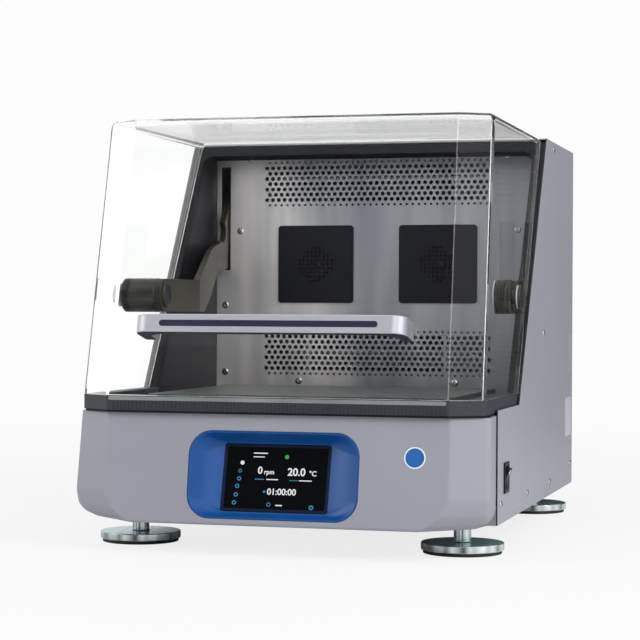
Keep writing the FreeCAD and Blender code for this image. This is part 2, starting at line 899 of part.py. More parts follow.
def heater():
    """Tube heater folded into parallel runs, in two clips on the back wall."""
    depth = wall_back + heater_standoff
    bottom = heater_height - (heater_runs - 1) * heater_run_gap / 2
    pieces = []
    for run in range(heater_runs):
        z = bottom + run * heater_run_gap
        pieces.append(crosswise(heater_radius, -heater_half_length, heater_half_length, depth, z))
        if run == heater_runs - 1:
            continue
        side = 1 if run % 2 == 0 else -1
        ring = Part.Face(Part.Wire(Part.makeCircle(heater_radius, V(side * heater_half_length, at(depth), z), X_AXIS)))
        centre = V(side * heater_half_length, at(depth), z + heater_run_gap / 2)
        pieces.append(ring.revolve(centre, V(0, -side, 0), math.degrees(math.pi)))
    low = bottom - heater_clip_margin
    high = bottom + (heater_runs - 1) * heater_run_gap + heater_clip_margin
    for side in (-1, 1):
        x = side * heater_clip_place
        pieces.append(block(x - heater_clip / 2, x + heater_clip / 2, wall_back, depth + heater_clip_margin, low, high))
    return fuse(pieces)


# Switch and inlet

def switch_housing():
    half_w = switch_width / 2
    half_l = switch_length / 2
    flange = block(half_width, half_width + switch_flange, switch_depth_place - half_w, switch_depth_place + half_w,
                   switch_height_place - half_l, switch_height_place + half_l)
    in_w = half_w - switch_body_inset
    in_l = half_l - switch_body_inset
    body = block(half_width - switch_body_depth, half_width, switch_depth_place - in_w, switch_depth_place + in_w,
                 switch_height_place - in_l, switch_height_place + in_l)
    cav_w = rocker_width / 2 + rocker_side_gap
    cav_l = rocker_half_length + rocker_end_gap
    cavity = block(half_width - rocker_cavity_depth, half_width + switch_flange + overrun,
                   switch_depth_place - cav_w, switch_depth_place + cav_w,
                   switch_height_place - cav_l, switch_height_place + cav_l)
    pins = deepwise(rocker_pin_radius + pin_fit, half_width - rocker_pivot_inset, switch_depth_place - in_w,
                    switch_depth_place + in_w, switch_height_place)
    return fuse([flange, body]).cut(cavity).cut(pins)


def switch_rocker():
    """Rocker with two pins, lying in its off position."""
    pivot_x = half_width - rocker_pivot_inset
    half_w = rocker_width / 2
    points = [(pivot_x - rocker_root, -rocker_root_half), (half_width, -rocker_half_length),
              (half_width + rocker_reach, -rocker_half_length), (half_width + rocker_reach - rocker_dip, 0),
              (half_width + rocker_reach, rocker_half_length), (half_width, rocker_half_length),
              (pivot_x - rocker_root, rocker_root_half)]
    wire = outline(points, [0] * 7, lambda u, v: V(u, at(switch_depth_place - half_w), switch_height_place + v))
    rocker = slab([wire], V(0, rocker_width, 0))
    pins = deepwise(rocker_pin_radius, pivot_x, switch_depth_place - half_w - rocker_pin_length,
                    switch_depth_place + half_w + rocker_pin_length, switch_height_place)
    rocker = fuse([rocker, pins])
    rocker.rotate(V(pivot_x, at(switch_depth_place), switch_height_place), Y_AXIS, rocker_tilt)
    return rocker


def mains_inlet():
    """Appliance inlet with three pins in its socket; it lies within the side panels' rear edges."""
    def centred(width, height, depth0, depth1):
        return block(inlet_x - width / 2, inlet_x + width / 2, depth0, depth1,
                     inlet_height - height / 2, inlet_height + height / 2)
    front = rear_face + inlet_flange
    body = fuse([centred(inlet_flange_width, inlet_flange_height, rear_face, front),
                 centred(inlet_body_width, inlet_body_height, rear_face - inlet_body_depth, rear_face)])
    floor = front - inlet_socket_depth
    body = body.cut(centred(inlet_socket_width, inlet_socket_height, floor, front + overrun))
    pins = []
    for x, z in ((-inlet_pin_spacing, 0), (inlet_pin_spacing, 0), (0, inlet_earth_rise)):
        pins.append(block(inlet_x + x - inlet_pin_width / 2, inlet_x + x + inlet_pin_width / 2,
                          floor - inlet_pin_width, floor + inlet_pin_length,
                          inlet_height + z - inlet_pin_height / 2, inlet_height + z + inlet_pin_height / 2))
    return fuse([body] + pins)


# Hood and its handle

def hood_half(z):
    return rim_half_width - hood_taper * (z - rim_top) / hood_rise


def hood_block(inset, z0, z1, bend, top_bend):
    """Solid of the hood's outside, moved inwards by inset, with its top edges rounded."""
    rear = slant_head + hood_tail
    wires = []
    for z in (z0, z1):
        half = hood_half(z)
        front = hood_front_depth(z)
        wires.append(plan(half - rim_across, front, half, front + rim_back, half, rear, bend, z, inset))
    body = Part.makeLoft(wires, True, True)
    across = [(-hood_half(z0) + inset, z0), (hood_half(z0) - inset, z0), (hood_half(z1) - inset, z1),
              (-hood_half(z1) + inset, z1)]
    deep = [(hood_front_depth(z0) + inset, z0), (far, z0), (far, z1), (hood_front_depth(z1) + inset, z1)]
    rounded_sides = slab([outline(across, [0, 0, top_bend, top_bend], in_front(-far))], V(0, far + far, 0))
    rounded_front = side_slab(deep, [0, 0, 0, top_bend], -far, far)
    return body.common(rounded_sides).common(rounded_front)


def handle_frame():
    """Flat frame on the hood's front: across, out of the hood, up the hood."""
    origin = V(0, at(hood_front_depth(handle_height_place)), handle_height_place)
    return lambda u, n, t: origin + X_AXIS * u + hood_out * n + hood_up * t


handle_leg_middle = handle_half_width - handle_leg / 2


def hood_shell():
    base = rim_top + rest_gap
    outside = hood_block(0, base, hood_top, hood_bend, hood_top_bend)
    inside = hood_block(hood_wall, base - overrun, hood_top - hood_wall, hood_inner_bend, hood_inner_top_bend)
    shell = outside.cut(inside)
    shell = shell.cut(behind_slant(-rest_gap))
    shell = shell.cut(block(-far, far, slant_foot, far, base - overrun, base))
    frame = handle_frame()
    for side in (-1, 1):
        hole = Part.makeCylinder(handle_screw_radius + handle_screw_fit, hood_wall + overrun + overrun,
                                 frame(side * handle_leg_middle, overrun, 0), hood_out * -1)
        shell = shell.cut(hole)
    bore = cap_stub_radius + arm_gap
    shell = shell.cut(crosswise(bore, -half_width, -left_arm_plane, left_boss_depth, arm_axis_height))
    return shell.cut(crosswise(bore, right_arm_plane, half_width, right_boss_depth, arm_axis_height))


def handle_bar_piece():
    frame = handle_frame()
    outer = handle_half_width
    inner = outer - handle_leg
    deep = handle_proud - handle_bar
    low = -handle_height / 2
    points = [(-outer, 0), (-outer, handle_proud), (outer, handle_proud), (outer, 0),
              (inner, 0), (inner, deep), (-inner, deep), (-inner, 0)]
    radii = [0, handle_outer_corner, handle_outer_corner, 0, 0, handle_inner_corner, handle_inner_corner, 0]
    bar = slab([outline(points, radii, lambda u, n: frame(u, n, low))], hood_up * handle_height)
    bar = bar.makeFillet(handle_edge, front_edges(bar, frame))
    bar = bar.cut(slab([inlay_outline(0, handle_proud + inlay_depth)], hood_out * (-inlay_depth - inlay_depth)))
    for side in (-1, 1):
        depth = handle_screw_length - hood_wall + handle_screw_fit
        bore = Part.makeCylinder(handle_screw_radius + handle_screw_fit, depth,
                                 frame(side * handle_leg_middle, 0, 0), hood_out)
        bar = bar.cut(bore)
    return bar


def front_edges(bar, frame):
    """Long edges along the outside of the handle's bent bar."""
    chosen = []
    reach = handle_proud - handle_bar / 2
    start = frame(0, 0, 0)
    for edge in bar.Edges:
        middle = edge.valueAt((edge.FirstParameter + edge.LastParameter) / 2) - start
        out = middle.dot(hood_out)
        rise = abs(middle.dot(hood_up))
        on_rim = abs(rise - handle_height / 2) < handle_edge / 2
        outside = out > reach or abs(middle.x) > handle_half_width - handle_edge / 2
        if on_rim and outside:
            chosen.append(edge)
    return chosen


def inlay_outline(shrink, n):
    frame = handle_frame()
    half_l = inlay_half_length - shrink
    half_h = inlay_height / 2 - shrink
    points = rectangle(half_l, -half_h, half_h)
    return outline(points, [half_h * inlay_round_share] * 4, lambda u, t: frame(u, n, t))


def handle_inlay():
    return slab([inlay_outline(inlay_fit, handle_proud - inlay_fit)], hood_out * -(inlay_depth - inlay_fit))


def handle_screws():
    frame = handle_frame()
    screws = []
    inner = -hood_wall
    for side in (-1, 1):
        head = Part.makeCylinder(handle_screw_head, handle_screw_head_height,
                                 frame(side * handle_leg_middle, inner, 0), hood_out * -1)
        shank = Part.makeCylinder(handle_screw_radius, handle_screw_length,
                                  frame(side * handle_leg_middle, inner, 0), hood_out)
        screws.append(head.fuse(shank).removeSplitter())
    return Part.makeCompound(screws)


# Hood arms and hinge

def arm_band(side):
    """Plan strip that the arm plate follows from its boss back to the slot."""
    far_depth = pivot_depth + eye_radius + overrun
    half = arm_thickness / 2
    if side > 0:
        return block(right_arm_plane - half, right_arm_plane + half, 0, far_depth, 0, casing_top)
    line = [(-left_boss_plane, 0), (-left_boss_plane, wall_front - left_joggle_start),
            (-left_arm_plane, wall_front - left_joggle_end), (-left_arm_plane, far_depth)]
    points = [(x - half, d) for x, d in line] + [(x + half, d) for x, d in reversed(line)]
    return slab([outline(points, [0] * len(points), in_plan(0))], V(0, 0, casing_top))


def by_wall(point):
    """Depth and height of a point given in front of the back wall and below the pivot."""
    ahead, below = point
    return wall_front - ahead, pivot_height - below


def arm(side):
    left = side < 0
    boss_depth = left_boss_depth if left else right_boss_depth
    knee_top = wall_front - (left_knee_top if left else right_knee_top)
    knee_under = wall_front - (left_knee_under if left else right_knee_under)
    shoulder_top = by_wall(left_shoulder_top if left else right_shoulder_top)
    shoulder_under = by_wall(left_shoulder_under if left else right_shoulder_under)
    half = arm_height / 2
    low = arm_axis_height - half
    high = arm_axis_height + half
    points = [(boss_depth, low), (knee_under, low), shoulder_under, by_wall(arm_belly), by_wall(arm_heel),
              by_wall(arm_back), (pivot_depth + eye_radius, pivot_height),
              (pivot_depth, pivot_height + eye_radius), by_wall(arm_throat), by_wall(arm_crest), shoulder_top,
              (knee_top, high), (boss_depth, high)]
    bend = arm_bend_radius
    radii = [0, bend, bend, 0, 0, 0, 0, 0, 0, 0, bend, bend, 0]
    profile = side_slab(points, radii, -half_width, half_width)
    profile = profile.fuse(crosswise(half, -half_width, half_width, boss_depth, arm_axis_height))
    profile = profile.fuse(crosswise(eye_radius, -half_width, half_width, pivot_depth, pivot_height))
    notch_depth, notch_height = by_wall(notch_centre)
    profile = profile.cut(crosswise(notch_radius, -half_width, half_width, notch_depth, notch_height))
    plate = profile.removeSplitter().common(arm_band(side))
    plate = plate.cut(crosswise(hinge_shaft_radius + running_fit, -half_width, half_width, pivot_depth, pivot_height))
    return plate.cut(crosswise(bolt_radius + arm_gap, -half_width, half_width, boss_depth, arm_axis_height))


def boss_places():
    """Side, depth, plane of the arm at its boss, and inner face of the hood wall there."""
    inner_wall = hood_half(arm_axis_height + spacer_radius) - hood_wall
    return ((-1, left_boss_depth, left_boss_plane, inner_wall), (1, right_boss_depth, right_arm_plane, inner_wall))


def one_sided(side, shape):
    return shape if side > 0 else mirror_x(shape)


def arm_spacers():
    """Round spacers between the hood's side walls and the arms, grooved near both ends."""
    spacers = []
    for side, depth, plane, wall in boss_places():
        x0 = plane + arm_thickness / 2
        x1 = wall - arm_gap
        spacer = crosswise(spacer_radius, x0, x1, depth, arm_axis_height)
        starts = (x1 - spacer_rim - spacer_groove_width, x0 + spacer_rim) if side < 0 else ()
        for start in starts:
            ring = crosswise(spacer_radius + overrun, start, start + spacer_groove_width, depth, arm_axis_height)
            core = crosswise(spacer_radius - spacer_groove, start, start + spacer_groove_width, depth, arm_axis_height)
            spacer = spacer.cut(ring.cut(core))
        spacer = spacer.cut(crosswise(bolt_radius + arm_gap, x0 - overrun, x1 + overrun, depth, arm_axis_height))
        spacers.append(one_sided(side, spacer))
    return Part.makeCompound(spacers)


def arm_bolts():
    """Bolt, inner boss and outer cap that clamp each arm to the hood."""
    bolts = []
    for side, depth, plane, wall in boss_places():
        inner = plane - arm_thickness / 2
        outer_wall = hood_half(arm_axis_height)
        outer = outer_wall + arm_gap
        boss_radius, boss_height = right_boss_radius, right_boss_height
        if side < 0:
            boss_radius, boss_height = left_boss_radius, left_boss_height
        boss = crosswise(boss_radius, inner - boss_height, inner, depth, arm_axis_height)
        shank = crosswise(bolt_radius, inner, outer, depth, arm_axis_height)
        stub = crosswise(cap_stub_radius, wall, outer, depth, arm_axis_height)
        cap = crosswise(cap_radius, outer, outer + cap_height, depth, arm_axis_height)
        bolt = fuse([boss, shank, stub, cap])
        bolts.append(one_sided(side, bolt))
    return Part.makeCompound(bolts)


def hinge_shaft():
    over = arm_thickness / 2 + hinge_shaft_over
    return crosswise(hinge_shaft_radius, -left_arm_plane - over, right_arm_plane + over, pivot_depth, pivot_height)


def hinge_brackets():
    brackets = []
    low = pivot_height - bracket_foot_half_height
    high = pivot_height + bracket_foot_half_height
    foot_back = wall_back + bracket_foot_thickness
    for side in (-1, 1):
        x = side * bracket_place
        foot = block(x - bracket_foot_half_width, x + bracket_foot_half_width, wall_back, foot_back, low, high)
        web = [(wall_back, low), (pivot_depth, pivot_height - bracket_eye_radius),
               (pivot_depth, pivot_height + bracket_eye_radius), (wall_back, high)]
        plate = side_slab(web, [0] * 4, x - bracket_thickness / 2, x + bracket_thickness / 2)
        eye = crosswise(bracket_eye_radius, x - bracket_thickness / 2, x + bracket_thickness / 2,
                        pivot_depth, pivot_height)
        bracket = fuse([foot, plate, eye])
        bore = crosswise(hinge_shaft_radius + running_fit, x - bracket_foot_half_width,
                         x + bracket_foot_half_width, pivot_depth, pivot_height)
        brackets.append(bracket.cut(bore))
    return Part.makeCompound(brackets)


# Platform and drive

def platform():
    points = rectangle(platform_half_width, platform_front, platform_front + platform_length)
    wires = [outline(points, [platform_corner] * 4, in_plan(carriage_top))]
    columns = int((platform_half_width - clamp_margin) / clamp_pitch + 1 / 2)
    rows = int((platform_length / 2 - clamp_margin) / clamp_pitch)
    for i in range(-columns, columns):
        for j in range(-rows, rows + 1):
            x = (i + 1 / 2) * clamp_pitch
            centre = V(x, at(platform_depth + j * clamp_pitch), carriage_top)
            wires.append(Part.Wire(Part.makeCircle(clamp_hole_radius, centre, Z_AXIS)))
    plate = slab(wires, V(0, 0, platform_thickness))
    for x, depth in deck_screws():
        plate = plate.cut(upright(deck_screw_radius + arm_gap, x, depth, carriage_top - overrun, platform_top))
        plate = plate.cut(upright(deck_screw_head + arm_gap, x, depth,
                                  platform_top - deck_screw_head_height, platform_top + overrun))
    return plate


def deck_screws():
    return [(side * across * carriage_half_width, platform_depth + back * carriage_half_length)
            for across, back in deck_screw_shares for side in (-1, 1)]


def platform_screws():
    screws = []
    for x, depth in deck_screws():
        head_bottom = platform_top - deck_screw_head_height
        head = upright(deck_screw_head, x, depth, head_bottom, platform_top)
        shank = upright(deck_screw_radius, x, depth, head_bottom - deck_screw_length + deck_screw_head_height,
                        head_bottom)
        screws.append(head.fuse(shank).removeSplitter())
    return Part.makeCompound(screws)


def platform_carriage():
    """Plate with two windows and with bosses that ride on the crank pins."""
    bottom = carriage_top - carriage_plate
    points = rectangle(carriage_half_width, platform_depth - carriage_half_length,
                       platform_depth + carriage_half_length)
    wires = [outline(points, [carriage_corner] * 4, in_plan(bottom))]
    for side in (-1, 1):
        x0, x1 = sorted((side * window_near, side * window_away))
        window = [(x0, platform_depth + window_front), (x1, platform_depth + window_front),
                  (x1, platform_depth + window_rear), (x0, platform_depth + window_rear)]
        wires.append(outline(window, [window_corner] * 4, in_plan(bottom)))
    plate = slab(wires, V(0, 0, carriage_plate))
    low = bottom - carriage_boss_drop
    pieces = [plate, upright(carriage_boss_radius, 0, platform_depth, low, bottom)]
    for x, shift in idler_places:
        pieces.append(upright(idler_boss_radius, x, platform_depth + shift, low, bottom))
    body = fuse(pieces)
    top = carriage_top - pin_cover
    body = body.cut(upright(crank_pin_radius + pin_fit, 0, platform_depth, low - overrun, top))
    for x, shift in idler_places:
        body = body.cut(upright(idler_pin_radius + pin_fit, x, platform_depth + shift, low - overrun, top))
    for x, depth in deck_screws():
        body = body.cut(upright(deck_screw_radius + arm_gap, x, depth, low - overrun, carriage_top + overrun))
    return body


def crank(x, depth, shaft, bottom, disc_radius, disc, pin, top):
    """Shaft, disc and off-centre pin turned from one bar."""
    disc_low = tub_top + crank_lift
    disc_high = disc_low + disc
    return fuse([upright(shaft, x, depth, bottom, disc_low), upright(disc_radius, x, depth, disc_low, disc_high),
                 upright(pin, x, depth + orbit_radius, disc_high, top)])


def eccentric_shaft():
    return crank(0, spindle_depth, shaft_radius, shaft_bottom, crank_disc_radius, crank_disc,
                 crank_pin_radius, crank_pin_top)


def idler_crank(place):
    x, shift = place
    return crank(x, spindle_depth + shift, idler_shaft_radius, idler_bottom, idler_disc_radius, idler_disc,
                 idler_pin_radius, crank_pin_top)


def idler_housings():
    housings = []
    for x, shift in idler_places:
        depth = spindle_depth + shift
        body = fuse([upright(idler_housing_radius, x, depth, idler_bottom, tub_floor),
                     upright(idler_flange_radius, x, depth, tub_floor - idler_flange, tub_floor)])
        housings.append(body.cut(upright(idler_shaft_radius + running_fit, x, depth, idler_bottom - overrun,
                                         tub_floor + overrun)))
    return Part.makeCompound(housings)


def bearing_housing():
    body = fuse([upright(housing_radius, 0, spindle_depth, housing_bottom, tub_floor),
                 upright(housing_flange_radius, 0, spindle_depth, tub_floor - housing_flange, tub_floor)])
    return body.cut(upright(bearing_radius + running_fit, 0, spindle_depth, housing_bottom - overrun,
                            tub_floor + overrun))


def main_bearings():
    rings = []
    for low in (housing_bottom + bearing_inset, tub_floor - bearing_inset - bearing_height):
        ring = upright(bearing_radius, 0, spindle_depth, low, low + bearing_height)
        rings.append(ring.cut(upright(shaft_radius + running_fit, 0, spindle_depth, low - overrun,
                                      low + bearing_height + overrun)))
    return Part.makeCompound(rings)


def driven_pulley():
    top = pulley_bottom + pulley_height
    middle = (pulley_bottom + top) / 2
    rim_ring = upright(driven_radius, 0, spindle_depth, pulley_bottom, top)
    rim_ring = rim_ring.cut(upright(driven_radius - driven_rim, 0, spindle_depth, pulley_bottom, top))
    web = upright(driven_radius - driven_rim / 2, 0, spindle_depth, middle - driven_web / 2, middle + driven_web / 2)
    hub = upright(driven_hub_radius, 0, spindle_depth, pulley_bottom, top)
    return fuse([rim_ring, web, hub]).cut(upright(shaft_radius + running_fit, 0, spindle_depth,
                                                   pulley_bottom - overrun, top + overrun))


def motor_pulley():
    """Small pulley with the motor's shaft in it."""
    top = pulley_bottom + pulley_height
    return fuse([upright(driver_radius, 0, motor_depth, pulley_bottom, top),
                 upright(motor_shaft_radius, 0, motor_depth, top, motor_shaft_top)])


def belt_outline(grow, z):
    """Loop round both pulleys: two arcs and their outer tangents."""
    near, reach = spindle_depth, motor_depth - spindle_depth
    large = driven_radius + grow
    small = driver_radius + grow
    lean = math.asin((large - small) / reach)
    place = in_plan(z)

    def on(radius, depth, angle):
        return place(radius * math.cos(angle), depth + radius * math.sin(angle))
    points = [on(large, near, lean), on(small, motor_depth, lean),
              on(small, motor_depth, math.pi - lean), on(large, near, math.pi - lean)]
    edges = [Part.LineSegment(points[0], points[1]).toShape(),
             Part.Arc(points[1], on(small, motor_depth, math.pi / 2), points[2]).toShape(),
             Part.LineSegment(points[2], points[3]).toShape(),
             Part.Arc(points[3], on(large, near, -math.pi / 2), points[0]).toShape()]
    return Part.Wire(edges)


def drive_belt():
    low = pulley_bottom + (pulley_height - belt_width) / 2
    return slab([belt_outline(belt_gap + belt_thickness, low), belt_outline(belt_gap, low)], V(0, 0, belt_width))


def counterweight():
    """Half disc opposite the crank pin, clamped to the shaft."""
    top = weight_bottom + weight_height
    disc = upright(weight_radius, 0, spindle_depth, weight_bottom, top)
    disc = disc.common(block(-weight_radius, weight_radius, spindle_depth - weight_radius, spindle_depth,
                             weight_bottom, top))
    hub = upright(weight_hub_radius, 0, spindle_depth, weight_bottom, top)
    return fuse([disc, hub]).cut(upright(shaft_radius + running_fit, 0, spindle_depth, weight_bottom - overrun,
                                         top + overrun))


def drive_motor():
    can_top = tub_floor - motor_flange_thickness
    flange = block(-motor_flange, motor_flange, motor_depth - motor_flange, motor_depth + motor_flange,
                   can_top, tub_floor)
    body = fuse([flange, upright(motor_radius, 0, motor_depth, motor_bottom, can_top)])
    return body.cut(upright(motor_shaft_radius + running_fit, 0, motor_depth, motor_bottom - overrun,
                            motor_shaft_top + running_fit))


# Electrics

def control_board():
    """Board on four posts with a few parts on it."""
    floor = underside + sheet
    low = floor + board_lift
    top = low + board_thickness
    pieces = [block(board_near, board_far, board_front, board_rear, low, top)]
    for x in (board_near + board_post_inset, board_far - board_post_inset):
        for depth in (board_front + board_post_inset, board_rear - board_post_inset):
            pieces.append(upright(board_post_radius, x, depth, floor, low))
    wide = board_far - board_near
    deep = board_rear - board_front
    for (across, back), size, height in zip(board_part_shares, board_part_sizes, board_part_heights):
        x = board_near + wide * across
        depth = board_front + deep * back
        pieces.append(block(x - size / 2, x + size / 2, depth - size / 2, depth + size / 2, top, top + height))
    return fuse(pieces)


def power_supply():
    floor = underside + sheet
    points = [(-supply_far, supply_front), (-supply_near, supply_front), (-supply_near, supply_rear),
              (-supply_far, supply_rear)]
    return slab([outline(points, [supply_corner] * 4, in_plan(floor))], V(0, 0, supply_height))


# Feet

def foot_places():
    return [(side * foot_x, depth) for depth in foot_depths for side in (-1, 1)]


def foot(x, depth):
    """Metal disc with its stem and the threaded stud above it."""
    disc = upright(foot_radius, x, depth, pad_height, pad_height + foot_disc)
    disc = disc.makeChamfer(foot_edge, disc.Edges[0:1] + disc.Edges[2:3])
    stem_top = underside - foot_gap
    return fuse([disc, upright(stem_radius, x, depth, pad_height + foot_disc, stem_top),
                 upright(stud_radius, x, depth, stem_top, stud_top)])


def foot_pad(x, depth):
    return upright(pad_radius, x, depth, 0, pad_height)


def foot_nuts():
    nuts = []
    floor = underside + sheet
    for x, depth in foot_places():
        nut = upright(nut_radius, x, depth, floor, floor + nut_height)
        nuts.append(nut.cut(upright(stud_radius + stud_fit, x, depth, floor - overrun, floor + nut_height + overrun)))
    return Part.makeCompound(nuts)


def panel_screws():
    """Screw heads on both side panels and on the back wall."""
    heads = []
    for side in (-1, 1):
        for back, up in panel_screw_shares:
            head = crosswise(screw_head_radius, half_width, half_width + screw_head_height,
                             back * casing_depth, up * casing_top)
            heads.append(one_sided(side, head))
        for across, up in wall_screw_shares:
            z = tub_floor + up * (ceiling_height - tub_floor)
            heads.append(deepwise(screw_head_radius, side * across * chamber_half_width,
                                  wall_front - screw_head_height, wall_front, z))
    return Part.makeCompound(heads)


def main():
    os.makedirs("parts", exist_ok=True)
    save("front_bezel", front_bezel())
    save("display_surround", display_surround())
    save("touch_screen", touch_screen())
    save("side_panel_left", side_panel(-1))
    save("side_panel_right", side_panel(1))
    save("rear_panel", rear_panel())
    save("top_cover", top_cover())
    save("base_pan", base_pan())
    save("chamber_tub", chamber_tub())
    save("chamber_liner", chamber_liner())
    save("back_wall", back_wall())
    save("rim", rim())
    save("opening_seal", opening_seal())
    for side, word in ((-1, "left"), (1, "right")):
        save("fan_grille_" + word, fan_grille(side))
        save("fan_wheel_" + word, fan_wheel(side))
        save("fan_motor_" + word, fan_motor(side))
        save("hood_arm_" + word, arm(side))
    save("heater", heater())
    save("switch_housing", switch_housing())
    save("switch_rocker", switch_rocker())
    save("mains_inlet", mains_inlet())
    save("hood_shell", hood_shell())
    save("handle_bar", handle_bar_piece())
    save("handle_inlay", handle_inlay())
    save("handle_screws", handle_screws())
    save("arm_spacers", arm_spacers())
    save("arm_bolts", arm_bolts())
    save("hinge_shaft", hinge_shaft())
    save("hinge_brackets", hinge_brackets())
    save("platform", platform())
    save("platform_screws", platform_screws())
    save("platform_carriage", platform_carriage())
    save("eccentric_shaft", eccentric_shaft())
    for place, word in zip(idler_places, ("left", "right", "rear")):
        save("idler_crank_" + word, idler_crank(place))
    save("idler_housings", idler_housings())
    save("bearing_housing", bearing_housing())
    save("main_bearings", main_bearings())
    save("driven_pulley", driven_pulley())
    save("motor_pulley", motor_pulley())
    save("drive_belt", drive_belt())
    save("counterweight", counterweight())
    save("drive_motor", drive_motor())
    save("control_board", control_board())
    save("power_supply", power_supply())
    for (x, depth), word in zip(foot_places(), ("front_left", "front_right", "rear_left", "rear_right")):
        save("foot_" + word, foot(x, depth))
        save("foot_pad_" + word, foot_pad(x, depth))
    save("foot_nuts", foot_nuts())
    save("panel_screws", panel_screws())


main()
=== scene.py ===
import math

import bmesh
import bpy
from mathutils import Matrix, Vector


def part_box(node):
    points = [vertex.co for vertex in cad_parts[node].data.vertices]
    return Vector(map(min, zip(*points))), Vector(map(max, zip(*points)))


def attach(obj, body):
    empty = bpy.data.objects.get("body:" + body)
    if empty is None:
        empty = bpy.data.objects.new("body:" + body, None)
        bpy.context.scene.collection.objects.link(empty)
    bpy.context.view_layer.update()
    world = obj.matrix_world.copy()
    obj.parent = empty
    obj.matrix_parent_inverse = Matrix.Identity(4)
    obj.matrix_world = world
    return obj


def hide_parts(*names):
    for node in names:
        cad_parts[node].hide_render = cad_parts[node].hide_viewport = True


# Finishes and finer pieces of an incubated benchtop shaker. Metres, +Z up, the front towards -Y.
MM = 0.001

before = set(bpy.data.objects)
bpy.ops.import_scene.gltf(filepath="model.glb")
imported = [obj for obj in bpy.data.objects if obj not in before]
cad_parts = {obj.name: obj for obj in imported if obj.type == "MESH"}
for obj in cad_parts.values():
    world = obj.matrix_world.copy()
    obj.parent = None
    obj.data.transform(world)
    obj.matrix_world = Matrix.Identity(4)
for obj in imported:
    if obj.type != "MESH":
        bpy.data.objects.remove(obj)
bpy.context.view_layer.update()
bpy.ops.object.select_all(action="DESELECT")

# Driving sizes, the same as those of the solids
BEZEL_DEPTH = 64 * MM
BEZEL_LEAN = math.atan2(12.3, 81.9)
# Bezel rings: height, front fold's half width and depth, side fold's half width and depth, half width at the seam
BEZEL_RINGS = (
    (141.9, 179.4, 0.0, 216.6, 19.4, 213.2),
    (60.0, 180.0, -12.3, 218.4, 7.4, 213.2),
    (46.0, 171.0, -14.4, 216.3, 9.0, 213.0),
    (38.0, 161.0, -15.6, 211.0, 15.0, 211.0),
    (30.7, 150.0, -16.8, 199.0, 26.0, 207.0),
)
BEZEL_FOLD = 5 * MM
BEZEL_WALL = 3 * MM

DISPLAY_HALF_WIDTH = 89 * MM
DISPLAY_LOW = 37.6 * MM
DISPLAY_HIGH = 125.1 * MM
DISPLAY_CORNER = 24 * MM
DISPLAY_BORDER = 2 * MM
DISPLAY_SHELL = 4 * MM
DISPLAY_GAP = 0.3 * MM
SCREEN_HALF_WIDTH = 56.3 * MM
SCREEN_LENGTH = 70 * MM
SCREEN_CORNER = 3 * MM
SCREEN_RECESS = 13 * MM
SCREEN_DROP = 1.5 * MM
SCREEN_TILT = math.radians(6.9)
SCREEN_SINK = 0.5 * MM
GLASS = 4 * MM

HOOD_WALL = 4 * MM
HOOD_LEAN = 64.9 * MM
HOOD_TAPER = 4 * MM
HOOD_FOLD = 7 * MM
HOOD_TOP_BEND = 8 * MM
HOOD_TOP = 448.4 * MM
RIM_TOP = 159 * MM
RIM_REACH = 6.3 * MM
RIM_HALF_WIDTH = 212 * MM
RIM_ACROSS = 33.6 * MM
RIM_BACK = 19.8 * MM
RIM_FOLD = 6 * MM
RIM_WIDTH = 16 * MM
REST_GAP = 0.3 * MM
SLANT_FOOT = Vector((0, 193.0, 146.9)) * MM
SLANT_HEAD = Vector((0, 374.0, 447.4)) * MM

HANDLE_HEIGHT = 225 * MM
HANDLE_HALF_WIDTH = 140.5 * MM
HANDLE_PROUD = 40.5 * MM
HANDLE_BAR = 10 * MM
HANDLE_LEG = 12 * MM
HANDLE_TALL = 19 * MM
HANDLE_OUTER_CORNER = 14.5 * MM
HANDLE_INNER_CORNER = 20 * MM
HANDLE_EDGE = 1.5 * MM
INLAY_HALF_LENGTH = 113 * MM
INLAY_TALL = 6.5 * MM
INLAY_DEPTH = 2 * MM

# Depths are measured back from the bezel's top front edge
FACE_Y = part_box("front_bezel")[1].y - BEZEL_DEPTH


def slant_normal():
    run = SLANT_HEAD - SLANT_FOOT
    return Vector((0, run.z, -run.y)).normalized()


# Finishes

# Noise below and above these values shows the ends of a finish
GRAIN_LOW, GRAIN_HIGH = 0.3, 0.7
FILM_GRAIN = 0.004 * MM
# Painted shade for the walls of the holes in the back wall
HOLE_PAINTED_SHADE = (0.03, 0.03, 0.035, 1)
# Painted light that lifts and warms the left part of the back wall
WALL_PAINTED_LIGHT = (2.1, 1.94, 1.8, 1)
# Share of what is behind each pane of the hood that comes through straight, without a mirror image over it, and how
# nearly the pane has to look that way
PANE_WAYS = (((1, 0, 0), 0.85, 0.93), ((-1, 0, 0), 0.85, 0.93), ((0, 0, 1), 0.6, 0.93), ((0, 0, -1), 0.6, 0.93),
             (slant_normal(), 0.92, 0.5))


def shade(red, green, blue):
    """Linear colour of a shade given in display values up to 255."""
    parts = []
    for value in (red / 255, green / 255, blue / 255):
        parts.append(value / 12.92 if value < 0.04045 else ((value + 0.055) / 1.055) ** 2.4)
    return (*parts, 1.0)


def finish(name, colour, roughness, metallic=0.0, **sockets):
    """New material with a Principled shader; sockets are further constant values."""
    made = bpy.data.materials.new(name)
    made.use_nodes = True
    made.diffuse_color = colour
    sockets = {"Base Color": colour, "Roughness": roughness, "Metallic": metallic, **sockets}
    for socket, value in sockets.items():
        principled(made).inputs[socket.replace("_", " ")].default_value = value
    return made


def principled(made):
    return made.node_tree.nodes["Principled BSDF"]


def join(owner, source, target):
    owner.node_tree.links.new(source, target)


def add_node(owner, kind, values=None, **settings):
    """Node of a material or a world; a value is a constant, or the output that feeds the socket."""
    node = owner.node_tree.nodes.new("ShaderNode" + kind)
    for key, value in settings.items():
        setattr(node, key, value)
    for socket, value in (values or {}).items():
        if isinstance(value, bpy.types.NodeSocket):
            join(owner, value, node.inputs[socket])
        else:
            node.inputs[socket].default_value = value
    return node


